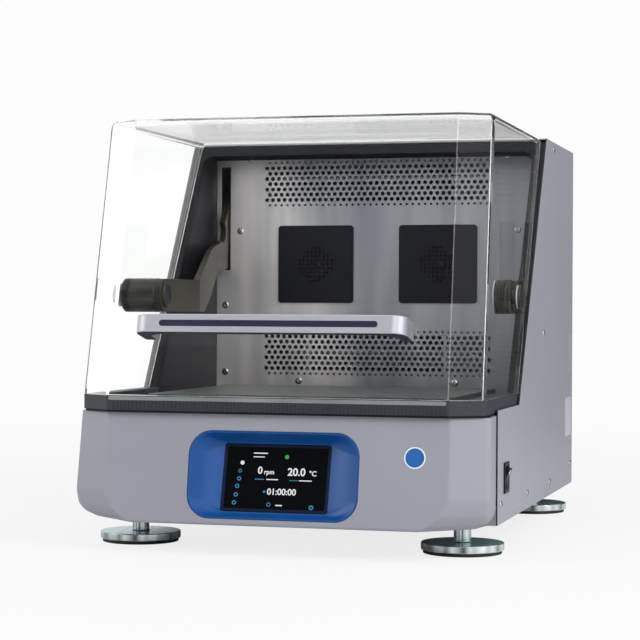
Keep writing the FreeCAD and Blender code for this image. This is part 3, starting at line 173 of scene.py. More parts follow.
def maths(owner, operation, first, second):
    return add_node(owner, "Math", {0: first, 1: second}, operation=operation).outputs["Value"]


def mapped(owner, value, low, high, to_low=0.0, to_high=1.0):
    """Value stretched from one range to another and held there."""
    ends = {"From Min": low, "From Max": high, "To Min": to_low, "To Max": to_high}
    return add_node(owner, "MapRange", {"Value": value, **ends}).outputs["Result"]


def coordinates(owner, kind="Object"):
    return add_node(owner, "TexCoord").outputs[kind]


def along(made, kind, way):
    """How far a coordinate reaches along a direction."""
    values = {0: coordinates(made, kind), 1: way}
    return add_node(made, "VectorMath", values, operation="DOT_PRODUCT").outputs["Value"]


def facing(made, way, low, high):
    """1 where a face looks along a direction by more than high, 0 below low."""
    return mapped(made, along(made, "Normal", way), low, high)


def grain(made, scale, stretch=(1, 1, 1), detail=3.0, kind="Object"):
    """Noise on the piece's own coordinates; stretch below 1 draws it out along that axis."""
    place = add_node(made, "Mapping", {"Vector": coordinates(made, kind), "Scale": stretch}).outputs["Vector"]
    return add_node(made, "TexNoise", {"Vector": place, "Scale": scale, "Detail": detail}).outputs["Fac"]


def between(made, source, low, high, socket):
    """Drives a socket of the shader between two numbers or two colours."""
    if isinstance(low, tuple):
        ramp = add_node(made, "ValToRGB", {"Fac": source})
        first, last = ramp.color_ramp.elements
        first.position, last.position = GRAIN_LOW, GRAIN_HIGH
        first.color, last.color = low, high
        driven = ramp.outputs["Color"]
    else:
        driven = mapped(made, source, GRAIN_LOW, GRAIN_HIGH, low, high)
    join(made, driven, principled(made).inputs[socket])


def relief(made, source, height):
    """Bump of a real height in metres."""
    if height:
        bump = add_node(made, "Bump", {"Height": source, "Strength": 1.0, "Distance": height})
        join(made, bump.outputs["Normal"], principled(made).inputs["Normal"])


def deepen(made, mask, colour):
    """Multiplies the base colour where the mask is 1."""
    base = principled(made).inputs["Base Color"]
    mix = add_node(made, "Mix", {0: mask, 6: base.links[0].from_socket, 7: colour}, data_type="RGBA",
                   blend_type="MULTIPLY")
    join(made, mix.outputs[2], base)
    return made


def blend(made, share, first, second):
    """Shows the first shader where the share is 0 and the second where it is 1."""
    mix = add_node(made, "MixShader", {0: share, 1: first.outputs[0], 2: second.outputs[0]})
    join(made, mix.outputs[0], made.node_tree.nodes["Material Output"].inputs["Surface"])
    return made


def painted(name, light, dark, roughness):
    """Powder coat: fine orange peel and slow shifts of tone."""
    made = finish(name, shade(*light), roughness)
    between(made, grain(made, 7.0, detail=2.0), shade(*dark), shade(*light), "Base Color")
    peel = grain(made, 900.0, detail=2.0)
    between(made, peel, roughness - 0.05, roughness + 0.06, "Roughness")
    relief(made, peel, 0.03 * MM)
    return made


def brushed(name, light, dark, roughness, stretch, scale=1400.0, metallic=1.0):
    """Metal with fine drawn lines along the axis that stretch leaves short."""
    made = finish(name, shade(*light), roughness, metallic)
    lines = grain(made, scale, stretch, detail=4.0)
    between(made, grain(made, 9.0, detail=2.0), shade(*dark), shade(*light), "Base Color")
    between(made, lines, roughness - 0.07, roughness + 0.09, "Roughness")
    relief(made, lines, 0.006 * MM)
    return made


def moulded(name, light, dark, roughness, scale=1500.0, height=0.02 * MM):
    """Plastic or rubber with a fine moulded grain."""
    made = finish(name, shade(*light), roughness)
    speckle = grain(made, scale, detail=2.0)
    between(made, grain(made, 14.0), shade(*dark), shade(*light), "Base Color")
    between(made, speckle, roughness - 0.06, roughness + 0.06, "Roughness")
    relief(made, speckle, height)
    return made


def cast(name, light, dark, roughness, metallic):
    """Cast surface with a coarse skin."""
    made = finish(name, shade(*light), roughness, metallic)
    skin_grain = grain(made, 420.0, detail=5.0)
    between(made, skin_grain, shade(*dark), shade(*light), "Base Color")
    relief(made, skin_grain, 0.08 * MM)
    return made


def wall_sheet():
    """Brushed sheet with soft upright streaks of tone and painted reflection, painted light that makes it warmer and
    lighter at the left, and painted shade that makes the holes look dark.
    """
    made = brushed("brushed_wall", (186, 188, 194), (158, 161, 168), 0.36, (1, 1, 0.02), metallic=0.7)
    # Streaks in the base colour: partly the sheet's own tone, partly painted reflections.
    tone_and_reflection_streaks = grain(made, 22.0, (1, 1, 0.1))
    between(made, tone_and_reflection_streaks, shade(142, 146, 155), shade(188, 190, 196), "Base Color")
    # Painted light: a warm, lighter pool on the left of the wall, ending at a soft slanted edge.
    deepen(made, mapped(made, along(made, "Object", (1, 0, 0.28)), 0.035, -0.012), WALL_PAINTED_LIGHT)
    # Painted shade: faces that don't look to the front, such as the hole walls, are darkened.
    return deepen(made, facing(made, (0, -1, 0), 0.9, 0.2), HOLE_PAINTED_SHADE)


def banded_chrome():
    """Turned bright metal: painted reflections of a row of windows as bands round its side, teal where it looks up."""
    made = brushed("foot_chrome", (176, 190, 192), (160, 176, 180), 0.2, (0.2, 0.2, 1), scale=900.0, metallic=0.75)
    # Painted reflections: light and dark bands set by the direction each face looks.
    painted_window_reflections = grain(made, 3.2, (1, 1, 0), 1.0, "Normal")
    between(made, painted_window_reflections, shade(84, 98, 102), shade(246, 250, 250), "Base Color")
    return deepen(made, facing(made, (0, 0, 1), 0.6, 0.9), shade(176, 236, 238))


def clear_acrylic():
    """Clear sheet that bends what is seen through it and lets the lamps in; its sides and roof mirror less."""
    made = finish("clear_acrylic", shade(254, 255, 254), 0.0, IOR=1.4, Transmission_Weight=1.0)
    between(made, grain(made, 60.0, detail=1.0), 0.0, 0.012, "Roughness")
    straight = add_node(made, "LightPath").outputs["Is Shadow Ray"]
    for way, share, least in PANE_WAYS:
        amount = maths(made, "MULTIPLY", facing(made, way, least, least + 0.04), share)
        straight = maths(made, "MAXIMUM", straight, amount)
    passing = add_node(made, "BsdfTransparent", {"Color": (0.985, 0.987, 0.985, 1)})
    return blend(made, straight, principled(made), passing)


def glowing(name, colour, strength):
    """Lit part of the display, slightly uneven like a real panel."""
    made = finish(name, shade(10, 10, 12), 0.3, Emission_Color=colour, Emission_Strength=strength)
    between(made, grain(made, 300.0, detail=1.0), shade(8, 8, 10), shade(14, 14, 16), "Base Color")
    return made


CASING = painted("casing_paint", (151, 152, 161), (147, 148, 157), 0.42)
# The side panels carry the casing's paint made a little lighter: painted light on the sides.
PANEL_PAINT_LIGHTENED = painted("panel_paint_lightened", (155, 156, 165), (150, 151, 160), 0.42)
deepen(PANEL_PAINT_LIGHTENED, facing(PANEL_PAINT_LIGHTENED, -slant_normal(), 0.5, 0.65), (0.05, 0.05, 0.06, 1))
STEEL_SHEET = brushed("galvanised_sheet", (176, 178, 180), (150, 152, 155), 0.42, (1, 0.05, 0.05), scale=500.0)
BLUE = moulded("surround_blue", (1, 76, 146), (1, 70, 138), 0.34, height=0.008 * MM)
SCREEN = moulded("screen_glass", (9, 10, 14), (6, 7, 10), 0.09, scale=200.0, height=0.0)
WALL_STEEL = wall_sheet()
PLATFORM_ALLOY = brushed("platform_alloy", (138, 143, 138), (122, 127, 123), 0.36, (0.03, 1, 1))
LINER = painted("liner_dark", (32, 33, 38), (27, 28, 33), 0.46)
RIM_PLASTIC = moulded("rim_dark", (44, 47, 55), (36, 39, 46), 0.42)
SEAL_RUBBER = moulded("seal_rubber", (17, 18, 22), (12, 13, 16), 0.62)
BLACK_PLASTIC = moulded("black_plastic", (17, 18, 27), (13, 14, 22), 0.42)
CAST_ALLOY = cast("cast_alloy", (170, 172, 174), (140, 142, 145), 0.45, 1.0)
SPACER_PLASTIC = moulded("spacer_plastic", (36, 36, 33), (30, 30, 28), 0.3, height=0.01 * MM)
ARM_COAT = painted("arm_coat", (69, 65, 56), (58, 55, 48), 0.42)
# Painted shade: faces of the arms that look to the front are darkened.
deepen(ARM_COAT, facing(ARM_COAT, (0, -1, 0), 0.5, 0.9), (0.4, 0.4, 0.4, 1))
BRIGHT_STEEL = brushed("steel_bright", (200, 201, 203), (176, 178, 180), 0.25, (1, 0.06, 1), scale=900.0)
CAST_IRON = cast("cast_iron", (86, 86, 88), (64, 64, 66), 0.6, 0.6)
BELT_RUBBER = moulded("belt_rubber", (34, 34, 35), (25, 25, 26), 0.66, height=0.05 * MM)
ACRYLIC = clear_acrylic()
HANDLE_ALLOY = brushed("handle_alloy", (190, 191, 199), (184, 185, 193), 0.4, (0.02, 1, 1), metallic=0.4)
# Painted shade: the handle's underside and the faces that look to the right are darkened.
deepen(HANDLE_ALLOY, facing(HANDLE_ALLOY, (0, 0, -1), 0.3, 0.75), (0.1, 0.1, 0.12, 1))
deepen(HANDLE_ALLOY, facing(HANDLE_ALLOY, (1, 0, 0), 0.75, 0.97), (0.5, 0.5, 0.53, 1))
INLAY = moulded("inlay_navy", (34, 36, 62), (28, 30, 54), 0.4)
BOARD = moulded("board_green", (30, 96, 62), (24, 82, 52), 0.4)
SUPPLY_CASE = brushed("supply_case", (178, 180, 182), (160, 162, 165), 0.4, (1, 0.04, 1), scale=600.0)
CHROME = banded_chrome()
FRAME_NAVY = moulded("screen_frame", (8, 22, 52), (6, 18, 46), 0.3, height=0.0)
BADGE_BLUE = moulded("badge_blue", (26, 98, 168), (22, 92, 160), 0.35, height=FILM_GRAIN)
PALE_FILM = moulded("pale_film", (196, 196, 208), (188, 188, 200), 0.4, height=FILM_GRAIN)
GREY_FILM = moulded("grey_film", (163, 163, 172), (159, 159, 168), 0.36, height=FILM_GRAIN)
PALE_STRIP = moulded("pale_strip", (140, 146, 146), (112, 118, 120), 0.3, height=FILM_GRAIN)
# Pale plastic of the left cap, also used for the painted highlight rings on the right
CAP_AND_HIGHLIGHT_PLASTIC = moulded("cap_and_highlight_plastic", (188, 190, 190), (178, 180, 180), 0.3, height=FILM_GRAIN)
# White print of the badge ring, also used for the painted highlight on the power rocker
WHITE_PRINT_AND_HIGHLIGHT = moulded("white_print_and_highlight", (236, 238, 240), (228, 230, 233), 0.4, height=FILM_GRAIN)
LIT_WHITE = glowing("lit_white", (0.86, 0.88, 0.9, 1), 0.9)
LIT_BLUE = glowing("lit_blue", (0.06, 0.32, 0.62, 1), 0.7)
LIT_TEAL = glowing("lit_teal", (0.03, 0.3, 0.34, 1), 0.7)
LIT_GREEN = glowing("lit_green", (0.05, 0.42, 0.07, 1), 0.8)
CONTACT_BRASS = brushed("contact_brass", (206, 190, 148), (190, 172, 130), 0.3, (1, 1, 0.05), scale=900.0)
FOAM = cast("filter_foam", (26, 26, 27), (8, 8, 9), 0.95, 0.0)
PAD_RUBBER = moulded("pad_rubber", (20, 20, 21), (13, 13, 14), 0.6)

# Dull dark surfaces take little of the bright room at a grazing angle
for made, level in ((LINER, 0.12), (SEAL_RUBBER, 0.25), (ARM_COAT, 0.3), (BLACK_PLASTIC, 0.25), (BLUE, 0.35)):
    principled(made).inputs["Specular IOR Level"].default_value = level

FOOT_WORDS = ("front_left", "front_right", "rear_left", "rear_right")
NODE_FINISHES = {
    CASING: ("front_bezel", "rear_panel", "top_cover"),
    PANEL_PAINT_LIGHTENED: ("side_panel_left", "side_panel_right"),
    STEEL_SHEET: ("base_pan", "hinge_brackets"),
    BLUE: ("display_surround",),
    SCREEN: ("touch_screen",),
    WALL_STEEL: ("back_wall",),
    PLATFORM_ALLOY: ("platform", "platform_carriage"),
    LINER: ("chamber_liner", "chamber_tub"),
    RIM_PLASTIC: ("rim",),
    SEAL_RUBBER: ("opening_seal",),
    BLACK_PLASTIC: ("fan_grille_left", "fan_grille_right", "fan_wheel_left", "fan_wheel_right", "switch_housing",
                    "switch_rocker", "mains_inlet", "arm_spacers", "arm_bolts"),
    CAST_ALLOY: ("fan_motor_left", "fan_motor_right", "bearing_housing", "idler_housings", "driven_pulley",
                 "motor_pulley"),
    ARM_COAT: ("hood_arm_left", "hood_arm_right"),
    BRIGHT_STEEL: ("heater", "hinge_shaft", "handle_screws", "platform_screws", "panel_screws", "main_bearings",
                   "eccentric_shaft", "idler_crank_left", "idler_crank_right", "idler_crank_rear", "foot_nuts"),
    CAST_IRON: ("counterweight", "drive_motor"),
    BELT_RUBBER: ("drive_belt",),
    ACRYLIC: ("hood_shell",),
    HANDLE_ALLOY: ("handle_bar",),
    INLAY: ("handle_inlay",),
    BOARD: ("control_board",),
    SUPPLY_CASE: ("power_supply",),
    CHROME: ["foot_" + word for word in FOOT_WORDS],
    PAD_RUBBER: ["foot_pad_" + word for word in FOOT_WORDS],
}


def dress_nodes():
    for made, names in NODE_FINISHES.items():
        for name in names:
            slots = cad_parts[name].data.materials
            slots.clear()
            slots.append(made)


# Room, lamps and camera

BACKGROUND = (0.985, 0.985, 0.985, 1.0)
ROOM_LIGHT = (0.5, 0.5, 0.51, 1)
FLOOR_SIZE = 30.0
FLOOR_GAP = 0.3 * MM
# The floor shows more of the background the farther it is from the object
FADE_START, FADE_END, FADE_LEAST = 0.4, 2.6, 0.82
# The background seen through the hood makes up for what its walls take
GLASS_GAIN = 1.25
CAMERA_PLACE = Vector((0.5622, -2.1506, 0.2478))
CAMERA_YAW = 0.2690
CAMERA_PITCH = -0.00535
CAMERA_ROLL = 0.00483
CAMERA_LENS = 109.5
SENSOR_WIDTH = 36.0
# Lamps: place, target, size and watts
LAMPS = {
    "lamp_left": ((-2.4, -1.6, 1.5), (0, -0.1, 0.25), (1.6, 1.8), 27),
    "lamp_right": ((2.2, -1.2, 1.4), (0, -0.1, 0.2), (1.2, 1.6), 46),
    "lamp_front": ((-0.4, -3.2, 1.9), (0, 0, 0.2), (1.4, 1.0), 6),
}
# Boards beside the object: place, turn, size and level
BOARDS = {
    "flag_right": ((0.9, 1.6, 0.4), 0.0, (2.6, 2.4), 0.02),
    "flag_front": ((-1.8, -3.4, 2.3), 0.0, (4.2, 2.8), 0.03),
    "flag_fold": ((1.33, -1.14, 0.86), 0.9, (1.3, 1.5), 0.35),
    "card_fold": ((1.05, -3.3, 1.9), 0.0, (1.3, 2.4), 4.0),
    "card_front": ((-0.9, -3.4, 0.2), 0.0, (6.0, 1.4), 0.4),
}


def light_path(owner, kind):
    return add_node(owner, "LightPath").outputs[kind]


def undiffused(owner):
    """1 until light has been scattered."""
    return maths(owner, "LESS_THAN", light_path(owner, "Diffuse Depth"), 0.5)


def through_glass(owner):
    """1 for what is seen directly through the hood."""
    return maths(owner, "MULTIPLY", light_path(owner, "Is Transmission Ray"), undiffused(owner))


def glass_gain(owner):
    return mapped(owner, through_glass(owner), 0.0, 1.0, 1.0, GLASS_GAIN)


def add_floor():
    """Pale floor that keeps the shadows and looks like the background beyond them."""
    bpy.ops.mesh.primitive_plane_add(size=FLOOR_SIZE, location=(0, 0, -FLOOR_GAP))
    floor = bpy.context.object
    floor.name = "floor"
    made = finish("floor_white", (0.9, 0.9, 0.9, 1), 0.7)
    seen = maths(made, "MAXIMUM", light_path(made, "Is Camera Ray"), through_glass(made))
    away = add_node(made, "VectorMath", {0: coordinates(made)}, operation="LENGTH").outputs["Value"]
    share = maths(made, "MULTIPLY", seen, mapped(made, away, FADE_START, FADE_END, FADE_LEAST))
    glow = add_node(made, "Emission", {"Color": BACKGROUND, "Strength": glass_gain(made)})
    floor.data.materials.append(blend(made, share, principled(made), glow))


def add_world():
    """Even light for surfaces; the camera, gloss and glass see the pale background."""
    world = bpy.data.worlds.new("studio")
    bpy.context.scene.world = world
    world.use_nodes = True
    seen = maths(world, "MAXIMUM", light_path(world, "Is Camera Ray"), light_path(world, "Is Glossy Ray"))
    seen = maths(world, "MAXIMUM", seen, light_path(world, "Is Transmission Ray"))
    seen = maths(world, "MULTIPLY", seen, undiffused(world))
    mix = add_node(world, "Mix", {0: seen, 6: ROOM_LIGHT, 7: BACKGROUND}, data_type="RGBA")
    background = world.node_tree.nodes["Background"]
    join(world, mix.outputs[2], background.inputs["Color"])
    join(world, glass_gain(world), background.inputs["Strength"])


def add_object(name, data):
    made = bpy.data.objects.new(name, data)
    bpy.context.scene.collection.objects.link(made)
    return made


def add_lamp(name, place, target, size, power):
    light = bpy.data.lights.new(name, "AREA")
    light.shape = "RECTANGLE"
    light.size, light.size_y = size
    light.energy = power
    lamp = add_object(name, light)
    lamp.location = place
    lamp.rotation_euler = (Vector(target) - Vector(place)).to_track_quat("-Z", "Y").to_euler()
    return lamp


def add_board(name, place, turn, size, level):
    """Board that only gloss sees, also gloss seen through the hood."""
    bpy.ops.mesh.primitive_plane_add(size=1, location=place, rotation=(math.pi / 2, 0, turn))
    board = bpy.context.object
    board.name = name
    board.scale = (*size, 1)
    made = finish(name + "_cloth", (0, 0, 0, 1), 0.9, Emission_Color=(level, level, level, 1), Emission_Strength=1.0)
    mirrored = maths(made, "GREATER_THAN", light_path(made, "Glossy Depth"), 0.5)
    board.data.materials.append(blend(made, mirrored, add_node(made, "BsdfTransparent"), principled(made)))
    board.visible_camera = False
    board.visible_diffuse = False
    board.visible_shadow = False


def add_camera():
    data = bpy.data.cameras.new("camera")
    data.lens = CAMERA_LENS
    data.sensor_width = SENSOR_WIDTH
    camera = add_object("camera", data)
    turn = spun(CAMERA_YAW, "Z") @ spun(math.pi / 2 + CAMERA_PITCH, "X")
    camera.matrix_world = Matrix.Translation(CAMERA_PLACE) @ turn @ spun(CAMERA_ROLL, "Z")
    bpy.context.scene.camera = camera


def add_studio():
    add_floor()
    add_world()
    bpy.context.scene.view_settings.view_transform = "Standard"
    lamps = {name: add_lamp(name, *values) for name, values in LAMPS.items()}
    lamps["lamp_front"].visible_glossy = False
    lamps["lamp_front"].visible_transmission = False
    for name, values in BOARDS.items():
        add_board(name, *values)
    add_camera()


# Modelling helpers

def only(piece):
    """Selects one piece and makes it the active one."""
    bpy.ops.object.select_all(action="DESELECT")
    bpy.context.view_layer.objects.active = piece
    piece.select_set(True)


def edit(piece):
    only(piece)
    bpy.ops.object.mode_set(mode="EDIT")


def leave():
    bpy.ops.object.mode_set(mode="OBJECT")


def face_outwards():
    bpy.ops.mesh.select_all(action="SELECT")
    bpy.ops.mesh.normals_make_consistent(inside=False)


def skin(name, rings, made, capped=True):
    """Grid bent through closed rings of points, joined into one surface that faces outwards."""
    across, along_rings = len(rings[0]), len(rings)
    bpy.ops.mesh.primitive_grid_add(x_subdivisions=across, y_subdivisions=along_rings - 1)
    piece = bpy.context.object
    piece.name = piece.data.name = name
    for i, vertex in enumerate(piece.data.vertices):
        vertex.co = rings[i // (across + 1)][i % (across + 1) % across]
    bpy.ops.object.mode_set(mode="EDIT")
    bpy.ops.mesh.select_all(action="SELECT")
    bpy.ops.mesh.remove_doubles(threshold=0.001 * MM)
    if capped:
        bpy.ops.mesh.select_all(action="DESELECT")
        bpy.ops.mesh.select_mode(type="EDGE")
        bpy.ops.mesh.select_non_manifold(extend=False)
        bpy.ops.mesh.fill_holes(sides=0)
    face_outwards()
    leave()
    piece.data.materials.append(made)
    return piece


def pick(kind, test):
    """In edit mode, selects the edges or faces whose middle and direction pass a test."""
    bpy.ops.mesh.select_mode(type=kind)
    bpy.ops.mesh.select_all(action="DESELECT")
    shape = bmesh.from_edit_mesh(bpy.context.edit_object.data)
    if kind == "EDGE":
        for edge in shape.edges:
            a, b = edge.verts
            edge.select_set(test((a.co + b.co) / 2, b.co - a.co))
    else:
        for face in shape.faces:
            face.select_set(test(face.calc_center_median(), face.normal))
    bmesh.update_edit_mesh(bpy.context.edit_object.data)


def open_up(piece, test):
    """Takes off the faces that pass a test."""
    edit(piece)
    pick("FACE", test)
    bpy.ops.mesh.delete(type="FACE")
    leave()


def add_modifier(piece, kind, **settings):
    modifier = piece.modifiers.new(kind.lower(), kind)
    for key, value in settings.items():
        setattr(modifier, key, value)
    return modifier.name


def modify(piece, kind, **settings):
    """Adds a modifier and applies it."""
    only(piece)
    bpy.ops.object.modifier_apply(modifier=add_modifier(piece, kind, **settings))


def thicken(piece, wall):
    modify(piece, "SOLIDIFY", thickness=wall, offset=-1.0, use_even_offset=True)


def round_edges(piece, width, segments=3, angle=30):
    modify(piece, "BEVEL", width=width, segments=segments, limit_method="ANGLE", angle_limit=math.radians(angle),
           miter_outer="MITER_ARC", use_clamp_overlap=True)


def smooth(piece, angle=30):
    """Smooth shading that leaves flat faces flat."""
    only(piece)
    bpy.ops.object.shade_smooth_by_angle(angle=math.radians(angle))
    modify(piece, "WEIGHTED_NORMAL", keep_sharp=True, weight=100)


def carve(piece, cutter, operation="DIFFERENCE"):
    modify(piece, "BOOLEAN", operation=operation, object=cutter, solver="EXACT")
    bpy.data.objects.remove(cutter)


def settle(piece, place):
    """Moves a piece in its mesh, so that its object stays at the origin."""
    piece.data.transform(place)
    return piece


def copy_at(piece, place):
    """Copy with a mesh of its own."""
    return settle(add_object(piece.name, piece.data.copy()), place)


def fuse(name, pieces):
    """Joins finished pieces into one object."""
    bpy.ops.object.select_all(action="DESELECT")
    for piece in pieces:
        piece.select_set(True)
    bpy.context.view_layer.objects.active = pieces[0]
    bpy.ops.object.join()
    pieces[0].name = pieces[0].data.name = name
    return pieces[0]


def adopt(piece, slot, *nodes, body="chassis", angle=30):
    """Smooths a piece, gives it its body and hides the solids that it stands for; the slot is not used."""
    if angle:
        smooth(piece, angle)
    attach(piece, body)
    if nodes:
        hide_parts(*nodes)


def frame_of(across, up, out, origin):
    """Frame with these directions as its axes."""
    place = Matrix((Vector(across), Vector(up), Vector(out))).transposed().to_4x4()
    place.translation = origin
    return place


def moved(x, y, z):
    return Matrix.Translation((x, y, z))


def spun(angle, axis):
    return Matrix.Rotation(angle, 4, axis)


def crosswise_place(x, y, z, side):
    """Frame whose Z points out of the side wall on that side."""
    return moved(x, y, z) @ spun(side * math.pi / 2, "Y")


def frontwise_place(x, y, z):
    """Frame whose Z points to the front."""
    return moved(x, y, z) @ spun(math.pi / 2, "X")


def side_place(x, depth, z):
    """Frame on the right side: X to the back, Y up, Z out of the wall."""
    return frame_of((0, 1, 0), (0, 0, 1), (1, 0, 0), (x, FACE_Y + depth, z))


def bezel_face(x, z):
    """Frame on the leaning bezel face: X across, Y up the face, Z out of it."""
    y = FACE_Y + (z - BEZEL_RINGS[0][0] * MM) * math.tan(BEZEL_LEAN)
    return moved(x, y, z) @ spun(math.pi / 2 - BEZEL_LEAN, "X")


# Outlines and plain shapes

def at_height(points, z):
    return [Vector((p[0], p[1], z)) for p in points]


def circle(radius, z, steps, x=0.0, y=0.0):
    return [Vector((x + radius * math.cos(2 * math.pi * i / steps), y + radius * math.sin(2 * math.pi * i / steps), z))
            for i in range(steps)]


def rounded(corners, radii, steps):
    """Flat outline with arcs at its corners, each of the same number of steps."""
    points = []
    count = len(corners)
    for i, (x, y) in enumerate(corners):
        here = Vector((x, y))
        if not radii[i]:
            points.append(here)
            continue
        before = (Vector(corners[i - 1]) - here).normalized()
        after = (Vector(corners[(i + 1) % count]) - here).normalized()
        half = before.angle(after) / 2
        centre = here + (before + after).normalized() * radii[i] / math.sin(half)
        start = here + before * radii[i] / math.tan(half) - centre
        end = here + after * radii[i] / math.tan(half) - centre
        turn = 1 if start.x * end.y - start.y * end.x > 0 else -1
        for step in range(steps + 1):
            angle = turn * (math.pi - 2 * half) * step / steps
            points.append(centre + Matrix.Rotation(angle, 2) @ start)
    return points


def rectangle(half_x, half_y):
    return [(-half_x, -half_y), (half_x, -half_y), (half_x, half_y), (-half_x, half_y)]


def soft_rectangle(half_x, half_y, corner, steps=6):
    return rounded(rectangle(half_x, half_y), [corner] * 4, steps)


def inset_corners(corners, inset):
    """Corners of an outline, run counter-clockwise, with every edge moved in."""
    inner = []
    count = len(corners)
    for i in range(count):
        before, here, after = (Vector(corners[(i + k) % count]) for k in (-1, 0, 1))
        first, second = (here - before).normalized(), (after - here).normalized()
        normal = Vector((-first.y, first.x)) + Vector((-second.y, second.x))
        inner.append(tuple(here + normal * inset / (1 + first.dot(second))))
    return inner


def plan_corners(half_front, front, half_side, side, rear, half_rear=None):
    """Corners of a plan with two cut front corners."""
    half_rear = half_side if half_rear is None else half_rear
    return [(-half_side, side), (-half_front, front), (half_front, front), (half_side, side),
            (half_rear, rear), (-half_rear, rear)]


def plan_ring(corners, z, fold, steps=6, inset=0):
    """Ring at a height, with its four front corners rounded."""
    corners = inset_corners(corners, inset) if inset else corners
    points = rounded(corners, [fold] * 4 + [0, 0], steps)
    return [Vector((p.x, FACE_Y + p.y, z)) for p in points]


def prism(name, points, low, high, made, edge=0.0, segments=2):
    """Flat outline raised along its own Z, with rounded edges."""
    piece = skin(name, [at_height(points, z) for z in (low, high)], made)
    if edge:
        round_edges(piece, edge, segments, 50)
    return piece


def soft_block(name, sizes, made, steps=3, segments=2):
    """Block with soft corners; sizes in millimetres are half width, half height, corner, low end, high end and edge."""
    half_x, half_y, corner, low, high, edge = (size * MM for size in sizes)
    return prism(name, soft_rectangle(half_x, half_y, corner, steps), low, high, made, edge, segments)


def turned(name, profile, made, place, steps=64):
    """Round piece from pairs of radius and height along its own Z."""
    return settle(skin(name, [circle(radius, height, steps) for radius, height in profile], made), place)


def soft_disc(radius, low, high, edge, steps=3):
    """Profile of a disc with rounded rims."""
    angles = [math.pi / 2 * step / steps for step in range(steps + 1)]
    return [(radius - edge + edge * math.sin(a), low + edge - edge * math.cos(a)) for a in angles] \
        + [(radius - edge + edge * math.cos(a), high - edge + edge * math.sin(a)) for a in angles]


def cut_off(piece, place, outwards):
    """Cuts away what lies past a plane and closes the cut with one flat face."""
    edit(piece)
    bpy.ops.mesh.select_all(action="SELECT")
    bpy.ops.mesh.bisect(plane_co=place, plane_no=outwards, clear_outer=True)
    bpy.ops.mesh.select_all(action="DESELECT")
    bpy.ops.mesh.select_mode(type="EDGE")
    bpy.ops.mesh.select_non_manifold(extend=False, use_multi_face=False, use_non_contiguous=False, use_verts=False)
    bpy.ops.mesh.edge_face_add()
    face_outwards()
    leave()


def cut_behind_slant(piece):
    """Cuts off all that lies behind the slanted opening plane, with a small gap."""
    cut_off(piece, SLANT_FOOT + Vector((0, FACE_Y, 0)) - slant_normal() * REST_GAP, slant_normal())


def islands(node):
    """Boxes of the separate solids of a node."""
    shape = bmesh.new()
    shape.from_mesh(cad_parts[node].data)
    bmesh.ops.remove_doubles(shape, verts=shape.verts, dist=0.01 * MM)
    left = set(shape.verts)
    boxes = []
    while left:
        todo, found = [left.pop()], []
        while todo:
            vertex = todo.pop()
            found.append(vertex.co)
            for edge in vertex.link_edges:
                other = edge.other_vert(vertex)
                if other in left:
                    left.remove(other)
                    todo.append(other)
        boxes.append(tuple(Vector([end(c[k] for c in found) for k in range(3)]) for end in (min, max)))
    shape.free()
    return sorted(boxes, key=lambda box: tuple(round(v, 5) for v in box[0]))


# Front bezel

def bezel_shell():
    """Folded front cover with soft corners, hollow behind."""
    rings = []
    for z, half_front, front, half_side, side, half_rear in BEZEL_RINGS:
        corners = plan_corners(half_front * MM, front * MM, half_side * MM, side * MM, BEZEL_DEPTH, half_rear * MM)
        rings.append(plan_ring(corners, z * MM, BEZEL_FOLD * 1.6, 5))
    piece = skin("bezel_cover", rings, CASING)
    top, rear = BEZEL_RINGS[0][0] * MM, FACE_Y + BEZEL_DEPTH
    open_up(piece, lambda c, n: n.z > 0.9 or (n.y > 0.9 and c.y > rear - BEZEL_FOLD))
    edit(piece)
    pick("EDGE", lambda c, d: abs(d.z) < 0.1 * MM and c.z < top - BEZEL_FOLD and c.y < rear - 0.1 * MM)
    bpy.ops.mesh.bevel(offset=3.4 * MM, segments=3, affect="EDGES", clamp_overlap=True)
    leave()
    thicken(piece, BEZEL_WALL)
    cutter = skin("window_cutter", display_rings((DISPLAY_GAP, -20 * MM), (DISPLAY_GAP, 20 * MM)), CASING)
    carve(piece, cutter)
    round_edges(piece, 0.5 * MM, 2, 60)
    adopt(piece, "casing_paint", "front_bezel", angle=35)


# Display

def display_place():
    """Frame on the leaning bezel face, in the middle of the display."""
    return bezel_face(0, (DISPLAY_LOW + DISPLAY_HIGH) / 2)


def screen_place():
    """Frame on the tilted screen plane."""
    return display_place() @ moved(0, -SCREEN_DROP, -SCREEN_RECESS) @ spun(-SCREEN_TILT, "X")


def display_rings(*pairs):
    """Rings round the display, each grown by a width at a height above the bezel face."""
    half_tall = (DISPLAY_HIGH - DISPLAY_LOW) / 2 / math.cos(BEZEL_LEAN)

    def ring(grow):
        return soft_rectangle(DISPLAY_HALF_WIDTH + grow, half_tall + grow, DISPLAY_CORNER + grow, 12)
    return [[display_place() @ p for p in at_height(ring(grow), z)] for grow, z in pairs]


def screen_ring(grow):
    return soft_rectangle(SCREEN_HALF_WIDTH + grow, SCREEN_LENGTH / 2 + grow, max(SCREEN_CORNER + grow, 0.4 * MM), 12)


def screen_rings(*pairs):
    """Rings round the screen, each grown by a width at a height above the screen plane."""
    return [[screen_place() @ p for p in at_height(screen_ring(grow), z)] for grow, z in pairs]


